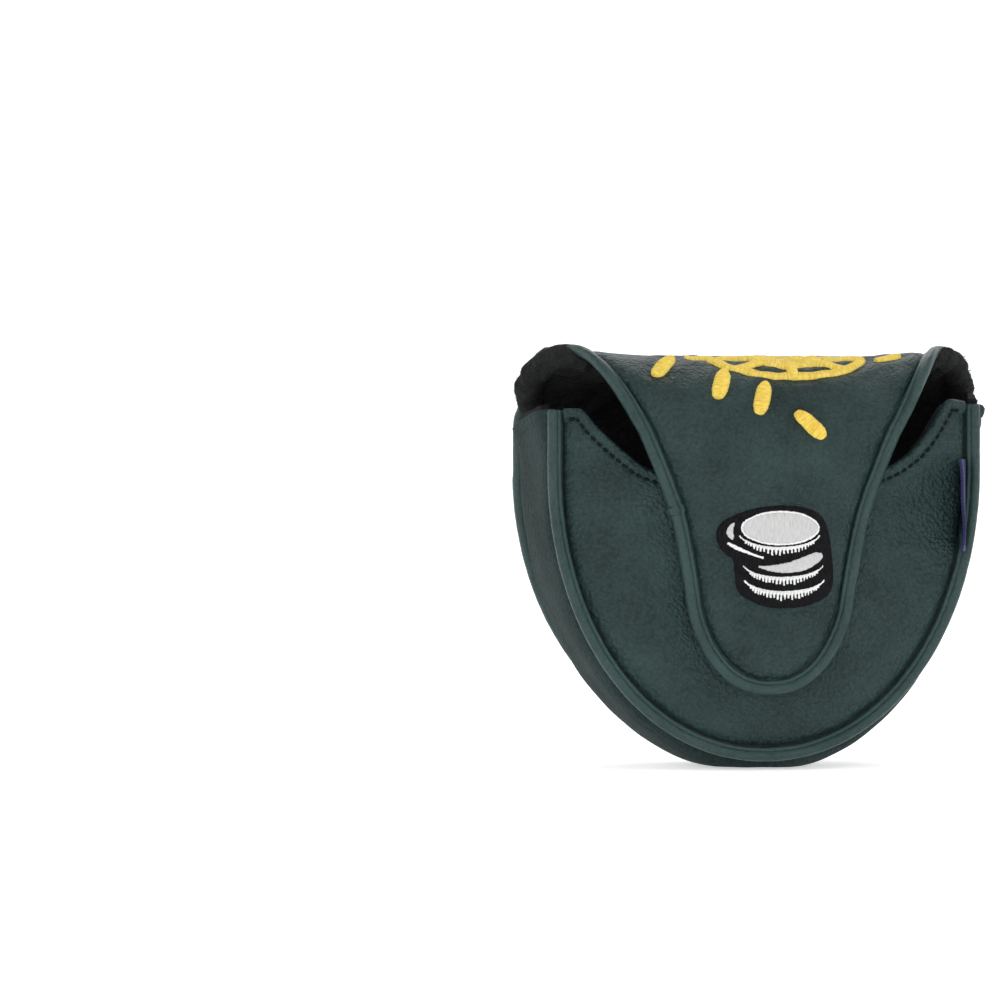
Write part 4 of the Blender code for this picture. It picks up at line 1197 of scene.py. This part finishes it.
def fibres(points, normals, count, seed, length=0.0016, radius=0.00007):
    """Short tapered hairs that stand on a grid of points."""
    rng = np.random.default_rng(seed)
    rows, columns = points.shape[:2]
    i, j = rng.integers(0, rows - 1, count), rng.integers(0, columns - 1, count)
    s, t = rng.uniform(0, 1, (2, count, 1))
    near = points[i, j] * (1 - t) + points[i, j + 1] * t
    far = points[i + 1, j] * (1 - t) + points[i + 1, j + 1] * t
    root = near * (1 - s) + far * s
    way = unit(normals[i, j] + rng.normal(0, 0.45, (count, 3)))
    aside = unit(np.cross(way, rng.normal(0, 1, (count, 3))))
    third = np.cross(way, aside)
    size = length * rng.uniform(0.5, 1.2, (count, 1))
    turns = np.radians([0, 120, 240])
    base = root - way * 0.0002
    feet = [base + radius * (aside * math.cos(a) + third * math.sin(a)) for a in turns]
    bend = root + way * size + rng.normal(0, 0.25, (count, 3)) * size
    verts = np.stack([*feet, bend], 1).reshape(-1, 3)
    first = np.arange(count)[:, None] * 4
    faces = np.concatenate([first + f for f in ([0, 1, 3], [1, 2, 3], [2, 0, 3], [2, 1, 0])])
    uv = np.repeat(root[:, [0, 2]], 4, axis=0)
    return verts, faces, uv


def plush_sheet(name, outer, inner, facing, nodes, seed, hairs, blend=None, more=()):
    """A lining whose inner face carries the pile. facing says which way the pile grows."""
    normals = grid_normals(inner, facing)
    soft = pile(inner, normals, seed)
    uv = np.stack([inner[..., 0] + inner[..., 1], inner[..., 2] - inner[..., 1]], -1)
    parts = [closed_sheet(outer, soft, uv)]
    parts += [fibres(soft, normals, hairs, seed), *more]
    add_mesh(name, parts, PLUSH, "pocket", nodes, "black_plush", blend)


def ear_spread(run):
    """How far the lining bulges past the leather at each ear."""
    rise = smooth_step((run - 0.0945) / 0.0050)
    fall = 1 - smooth_step((run - bend_run(math.radians(50))) / (NOMINAL_BEND * math.pi / 4))
    return 0.0034 * rise * fall


EAR_PUFF = (  # the middle line of the pile that swells out of an ear: x, y, z and its radius
    (0.0560, -0.0168, 0.0925, 0.0022), (0.0588, -0.0148, 0.0968, 0.0032),
    (0.0597, -0.0130, 0.1010, 0.0036), (0.0588, -0.0104, 0.1050, 0.0037),
    (0.0563, -0.0062, 0.1080, 0.0036), (0.0530, -0.0012, 0.1097, 0.0033),
    (0.0492, 0.0035, 0.1093, 0.0024), (0.0462, 0.0064, 0.1072, 0.0012),
)


def ear_puff(side, seed):
    """The parts of one ear's swelling pile and its hairs."""
    knots = np.arange(len(EAR_PUFF))
    t = np.linspace(0, knots[-1], 70)
    x, y, z, size = (
        through(list(zip(knots, values)), t) for values in np.array(EAR_PUFF).T
    )
    path = np.stack([side * x, y, z], -1)
    tangent = unit(np.gradient(path, axis=0))
    across = unit(np.cross(tangent, (0.0, 1.0, 0.3)))
    up = np.cross(across, tangent)
    section = round_section(1.0, 40)
    points, faces, uv, ends = tube(path, across, up, section, size)
    grid = points.reshape(70, 40, 3)
    normals = unit(grid - path[:, None])
    soft = pile(grid, normals, seed, 0.00022, 0.00045)
    hairs = fibres(soft, normals, 1500, seed, 0.0011)
    return [(soft.reshape(-1, 3), faces, uv, ends), hairs]


def strip_layer(runs, us, spread, depth, inset=0.0005):
    """A layer at a depth under the strip's outer face."""
    half = strip_half_width(runs)
    wide = np.maximum(half - inset + spread, 0.0008)
    base = strip_point(runs[:, None], us[None] * (wide / half)[:, None])
    normal = grid_normals(base, 1)
    return base - normal * depth[:, None, None], base


def add_strip_linings():
    us = edge_columns(141, 0.3)
    angle = np.radians(np.linspace(3, 90, 60))
    low = d_point(angle, 1.0, FRONT_BOTTOM_Z)[1]
    meeting = bend_run(MEETING)
    front = np.r_[low[:-1], np.linspace(MIDDLE_Z, meeting - 5e-5, 70), meeting]
    tip = TIP_START_Z - (TIP_START_Z - FLAP_END_Z) * np.sin(np.radians(np.linspace(0, 86, 24)))
    flap = np.r_[
        meeting, np.linspace(meeting + 5e-5, run_of_flap(TIP_START_Z), 120)[:-1], run_of_flap(tip)
    ]
    share = smooth_step((flap - bend_run(math.radians(80))) / (NOMINAL_BEND * 0.8))
    near, far = LINING_DEPTHS
    jobs = (
        ("plush_front", front, np.full(len(front), near), np.full(len(front), far),
         ("front_lining", "bridge_lining"), FRONT_BLEND, 5200),
        ("plush_flap", flap, near - 0.0010 * share, far - 0.0020 * share,
         ("flap_lining",), FLAP_BLEND, 3200),
    )
    for name, runs, shallow, deep, nodes, blend, hairs in jobs:
        spread = ear_spread(runs)
        outer, _ = strip_layer(runs, us, spread, shallow)
        inner, _ = strip_layer(runs, us, spread, deep)
        more = ear_puff(1, 53) + ear_puff(-1, 55) if name == "plush_front" else ()
        plush_sheet(name, outer, inner, -1, nodes, 51, hairs, blend, more)


def add_pocket_linings():
    y_values = np.linspace(FRONT_SEAM_Y + 0.0076, BACK_SEAM_Y - 0.0070, 40)
    points = gusset_points(y_values, 0.0012)
    normal = grid_normals(points, 1)
    normal *= -np.sign(normal[0, 0, 0])
    last = len(points) - 1
    place = np.minimum(np.arange(last + 1), last - np.arange(last + 1))
    right = (np.arange(last + 1) < last / 2)[:, None]
    rise = smooth_step((12 - place) / 12.0)[:, None]
    lean = swell(y_values, -0.006, 0.007)[None]
    tuft = rise * lean * np.where(right, 0.0030, 0.0006)
    raised = points + tuft[..., None] * [0, 0, 1]
    plush_sheet(
        "plush_gusset", raised - normal * 0.0018, raised - normal * 0.0042, -1,
        ["gusset_lining"], 61, 2600,
    )
    points = back_points(0.0012, 0.0005, 90, 121)
    normal = grid_normals(points, -1)
    plush_sheet(
        "plush_back", points - normal * 0.0016, points - normal * 0.0050, 1,
        ["back_lining"], 71, 2400,
    )


# Embroidery


def satin(
    line, lift=0.0, height=0.0008, across=9, ridge=0.22, seed=0, sink=0.0007, way=None
):
    """Threads laid side by side across a line: (points, faces, uv, ends) of one closed body.
    They lie square to the line, or to one way for all of them."""
    closed = is_ring(line)
    moves = np.diff(line[:, :2], axis=0)
    lengths = np.linalg.norm(moves, axis=1) if way is None else moves @ way
    step = np.r_[0, np.cumsum(lengths)]
    threads = max(int(round(step[-1] / THREAD)), 3)
    pitch = step[-1] / threads
    t = np.linspace(0, step[-1], threads * 4 + 1)
    if closed:
        t = t[:-1]
    x, run, half = (np.interp(t, step, line[:, k]) for k in range(3))
    if closed:
        dx, dr = (np.roll(v, -1) - np.roll(v, 1) for v in (x, run))
    else:
        dx, dr = np.gradient(x), np.gradient(run)
    if way is not None:
        dx, dr = way[0] + 0 * x, way[1] + 0 * x
    size = np.maximum(np.hypot(dx, dr), 1e-12)
    side_x, side_run = -dr / size, dx / size
    rng = np.random.default_rng(seed + 100)
    which = np.minimum((t / pitch).astype(int), threads - 1)
    ragged = rng.uniform(-0.00007, 0.00010, (2, threads))[:, which]
    turn = np.linspace(-1, 1, across)
    reach = half[:, None] + np.where(turn < 0, ragged[0][:, None], ragged[1][:, None]) * (
        np.abs(turn) ** 4
    )
    a = x[:, None] + side_x[:, None] * turn * reach
    b = run[:, None] + side_run[:, None] * turn * reach
    crest = (0.5 - 0.5 * np.cos(2 * math.pi * t / pitch))[:, None]
    dome = np.sqrt(np.maximum(1 - np.abs(turn) ** 2.4, 0))[None]
    narrow = np.minimum(half / 0.0009, 1)[:, None]
    high = lift + height * narrow * (0.18 + 0.82 * dome) * (1 - ridge * (1 - crest))
    points, normals = on_strip(a, b)
    top = points + normals * high[..., None]
    base = (points - normals * sink)[:, [-1, 0]]
    rings = np.concatenate([top, base], 1)
    rows, columns = rings.shape[:2]
    if closed:
        faces = grid_faces(rows + 1, columns, ring=True) % (rows * columns)
        ends = []
    else:
        faces = grid_faces(rows, columns, ring=True)
        ends = [list(range(columns))[::-1], list(range((rows - 1) * columns, rows * columns))]
    around = np.r_[turn, 1, -1][None] * np.maximum(half, 1e-5)[:, None]
    uv = np.stack([around, np.broadcast_to(t[:, None], around.shape)], -1).reshape(-1, 2)
    return rings.reshape(-1, 3), faces, uv, ends


def stitched(name, lines, material, slot, blend, nodes=(), lift=0.0, height=0.0008, across=9):
    parts = []
    for k, line in enumerate(lines):
        blunt = line[0, 2] < 0.0004, line[-1, 2] < 0.0004
        if not is_ring(line):
            line = round_ends(line, not blunt[0], not blunt[1])
        parts.append(satin(line, lift + 0.00004 * k, height, across, seed=k))
    return add_mesh(name, parts, material, None, nodes, slot, blend, 80)


def add_front_embroidery():
    for name, (lines, material, slot) in ART.items():
        edges = [widened(line, OUTLINE) for line in lines]
        stitched(f"outline_{name}", edges, BLACK, "black_thread", FRONT_BLEND, height=0.00042)
        wide = 17 if name == "flag" else 9
        stitched(
            f"stitched_{name}", lines, material, slot, FRONT_BLEND,
            [f"embroidery_{name}"], 0.00030, 0.00085, wide,
        )
    for name, (filling, edge, way) in BOLTS.items():
        inside = filling - (0, 0, 0.0002)
        add_mesh(
            f"stitched_{name}", [satin(inside, 0.0, 0.0009, 31, 0.20, way=way)], YELLOW, None,
            [f"embroidery_{name}"], "yellow_thread", FRONT_BLEND, 80,
        )
        stitched(
            f"cord_{name}", [edge], YELLOW, "yellow_thread", FRONT_BLEND, (), 0.0003, 0.0012, 11
        )


def add_rays():
    for rays, blend in ((FRONT_RAYS, FRONT_BLEND), (FLAP_RAYS, FLAP_BLEND)):
        for name, ends in rays.items():
            stitched(
                f"stitched_{name}", [dash(*ends)], YELLOW, "yellow_thread", blend,
                [f"embroidery_{name}"], 0.0, 0.0011, 11,
            )


def rim(middle, half_length, drop, count, seed):
    """The reeded front edge of a disc: a fine line with short upright stitches under it."""
    angle = np.radians(np.linspace(-168, -12, 90))
    x, z = middle[0] + half_length * np.cos(angle), middle[1] + drop * np.sin(angle)
    width = 0.00016 + 0.00030 * np.abs(np.sin(angle)) ** 2
    lines = [np.stack([x, run_of_flap(z), width], -1)]
    rng = np.random.default_rng(seed)
    for angle in np.radians(np.linspace(-146, -34, count)):
        x, top = middle[0] + half_length * math.cos(angle), middle[1] + drop * math.sin(angle)
        length = (0.0005 + 0.0012 * math.sin(-angle) ** 3) * rng.uniform(0.75, 1.15)
        ends = ((x, run_of_flap(top + 0.0002)), (x, run_of_flap(top - length)))
        lines.append(stroke(ends, 0.00023 + rng.uniform(0, 0.00008), (1.0, 0.6), 8))
    return lines


def crescent(*rows):
    """A sliver of a disc's face: (x, z, half width) rows made into a smooth line."""
    knots = np.arange(len(rows))
    t = np.linspace(0, knots[-1], 60)
    x, z, width = (through(list(zip(knots, values)), t) for values in np.array(rows).T)
    return np.stack([x, run_of_flap(z), np.maximum(width, 0.0001)], -1)


def disc_faces():
    """The top disc's face, the slivers of two more and their white edges."""
    middle = (-0.0017, run_of_flap(0.0642))
    face = disc(middle, 0.0099, 0.0040)
    edge = arc(middle, (0.0101, 0.0042), 0.00022)
    right = crescent(
        (0.0040, 0.0542, 0.0002), (0.0005, 0.0537, 0.0008), (-0.0040, 0.0539, 0.0014),
        (-0.0085, 0.0551, 0.0017), (-0.0118, 0.0569, 0.0012), (-0.0126, 0.0577, 0.0002),
    )
    left = crescent(
        (0.0104, 0.0655, 0.0002), (0.0113, 0.0643, 0.0006), (0.0116, 0.0632, 0.0008),
        (0.0112, 0.0620, 0.0006), (0.0109, 0.0612, 0.0002),
    )
    return face, edge, right, left


def add_flap_embroidery():
    stitched(
        "stitched_sun", SUN, YELLOW, "yellow_thread", FLAP_BLEND, ["embroidery_sun"], 0.0, 0.0010
    )
    patch = satin(PATCH, 0.0, 0.0006, 41, 0.12, way=np.array((1.0, 0.0)))
    add_mesh(
        "stitched_patch", [patch], BLACK, None, ["embroidery_patch"], "black_thread", FLAP_BLEND, 80
    )
    face, edge, right, left = disc_faces()
    stitched(
        "stitched_disc_face", [face, right, left], GREY, "grey_thread", FLAP_BLEND,
        ["embroidery_disc_face"], 0.0005, 0.0005, 25,
    )
    behind = crescent(
        (0.0121, 0.0604, 0.0002), (0.0100, 0.0592, 0.0004), (0.0066, 0.0577, 0.0003),
        (0.0028, 0.0564, 0.0003),
    )
    stitched("stitched_disc_edges", [edge, behind], WHITE, "grey_thread", FLAP_BLEND, (), 0.0006,
             0.0005, 7)
    for number, middle, count in ((1, (-0.0015, 0.0632), 21), (2, (-0.0026, 0.0553), 23),
                                  (3, (-0.0029, 0.0515), 23)):
        nodes = [f"embroidery_disc_rim_{number}"] if number < 3 else []
        stitched(
            f"stitched_disc_rim_{number}", rim(middle, 0.0108, 0.0043, count, number), WHITE,
            "grey_thread", FLAP_BLEND, nodes, 0.0005, 0.0004, 7,
        )


# The side tag


def add_tag():
    """A woven label, folded double and sewn into the seam beside the back panel."""
    low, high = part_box("side_tag")
    root, tip = np.array((-0.0543, 0.0150)), np.array((-0.0503, 0.0279))
    along = unit(tip - root)
    side = np.array((-along[1], along[0]))
    reach = np.linalg.norm(tip - root)
    heights = np.linspace(low.z, high.z, 60)
    share = (heights - low.z) / (high.z - low.z)
    bow = 0.0007 * np.sin(share * math.pi * 1.3) + 0.0003 * np.sin(share * 9)
    around = np.linspace(-math.pi / 2, math.pi / 2, 9)
    outside, inside = 0.00046, 0.00014  # from the fold's middle to its two faces
    layers = []
    for half in (outside, inside):
        flat = np.linspace(0, reach - outside, 12)[:-1]
        a = np.r_[flat, reach - outside + half * np.cos(around), flat[::-1]]
        b = np.r_[np.full(11, -half), half * np.sin(around), np.full(11, half)]
        aside = b[None] + bow[:, None] * (a / reach)[None] ** 2
        places = root + along * a[None, :, None] + side * aside[..., None]
        z = np.broadcast_to(heights[:, None, None], (*places.shape[:2], 1))
        layers.append(np.concatenate([places, z], -1))
    across = np.r_[np.zeros(1), np.cumsum(np.linalg.norm(np.diff(layers[0][0], axis=0), axis=1))]
    uv = np.stack(np.broadcast_arrays(across[None], heights[:, None]), -1)
    sheet = closed_sheet(*layers, uv)
    tag = add_mesh("woven_tag", [sheet], TAG, "pocket", ["side_tag"], "navy_tag")


# Stage, light and camera


def add_stage():
    """A pale floor that curves up into a wall all round."""
    profile = [(r, 0.0) for r in (0.0, 0.2, 0.6, 1.2, 2.0)]
    profile += [
        (2.0 + 1.2 * math.sin(a), 1.2 * (1 - math.cos(a))) for a in np.radians(range(6, 91, 6))
    ]
    profile += [(3.2, 2.4)]
    turns = np.radians(np.arange(0, 360, 3.75))
    rings = [[(r * math.cos(a), r * math.sin(a), z) for a in turns] for r, z in profile[1:]]
    points = [(0.0, 0.0, 0.0)] + [p for ring in rings for p in ring]
    count = len(turns)
    faces = [(0, 1 + j, 1 + (j + 1) % count) for j in range(count)]
    faces += (grid_faces(len(rings), count, ring=True)[:, ::-1] + 1).tolist()
    mesh = bpy.data.meshes.new("floor")
    mesh.from_pydata(points, [], faces)
    mesh.shade_smooth()
    material, tree, shader = shader_of("floor_pale", Roughness=0.9, Specular_IOR_Level=0.1)
    speck = noise(tree, node(tree, "ShaderNodeTexCoord").outputs["Object"], 40.0)
    tree.links.new(
        ramp(tree, speck, (0.0, (0.88, 0.88, 0.88)), (1.0, (0.90, 0.90, 0.90))),
        shader.inputs["Base Color"],
    )
    shader.inputs["Emission Color"].default_value = (1, 1, 1, 1)
    shader.inputs["Emission Strength"].default_value = 0.52
    mesh.materials.append(material)
    floor = bpy.data.objects.new("floor", mesh)
    floor.location.z = -0.0002
    bpy.context.scene.collection.objects.link(floor)


AIM_Z = 0.06  # what the lights point at


def add_light(name, place, size, power):
    data = bpy.data.lights.new(name, "AREA")
    data.shape, data.size, data.size_y, data.energy = "RECTANGLE", *size, power
    light = bpy.data.objects.new(name, data)
    light.location = place
    aim = Vector((0, 0, AIM_Z)) - Vector(place)
    light.rotation_euler = aim.to_track_quat("-Z", "Y").to_euler()
    bpy.context.scene.collection.objects.link(light)


def add_lights():
    add_light("key_back", (-0.75, 0.95, 1.55), (0.8, 0.6), 5.6)
    add_light("fill_back", (1.1, 0.9, 0.7), (0.8, 0.8), 1.2)
    add_light("key_front", (-0.30, -1.25, 1.35), (0.9, 0.7), 5.2)
    add_light("fill_front", (1.1, -0.9, 0.7), (0.8, 0.8), 1.6)
    add_light("top", (0.0, 0.0, 1.6), (1.2, 1.2), 4.0)
    world = bpy.data.worlds.new("studio")
    world.use_nodes = True
    background = world.node_tree.nodes["Background"]
    background.inputs["Color"].default_value = (1, 1, 1, 1)
    background.inputs["Strength"].default_value = 0.30
    bpy.context.scene.world = world
    bpy.context.scene.view_settings.view_transform = "Standard"


def add_camera():
    """Nearly straight at the flap side, a little round to its left, with the cover right of the
    frame's middle."""
    data = bpy.data.cameras.new("camera")
    data.lens, data.sensor_width = 135, 36
    data.clip_end = 30
    camera = bpy.data.objects.new("camera", data)
    frame_width, turn, aside = 0.267, math.radians(7), 0.0680
    away = frame_width * data.lens / data.sensor_width + 0.016
    camera.location = (
        aside * math.cos(turn) + away * math.sin(turn),
        -0.005 - aside * math.sin(turn) + away * math.cos(turn),
        0.0716,
    )
    camera.rotation_euler = (math.radians(90), 0, math.pi - turn)
    bpy.context.scene.collection.objects.link(camera)
    bpy.context.scene.camera = camera


def finish_frame():
    """Materials for the CAD nodes that still show, inside the padding."""
    steel = brushed_steel("magnet_plate")
    for name in ("pocket_magnet", "flap_magnet"):
        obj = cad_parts[name]
        obj.data.materials.clear()
        obj.data.materials.append(steel)


add_strip()
add_piping()
add_gusset()
add_back_panel()
add_topstitch()
add_strip_linings()
add_pocket_linings()
add_front_embroidery()
add_rays()
add_flap_embroidery()
add_tag()
finish_frame()
add_stage()
add_lights()
add_camera()
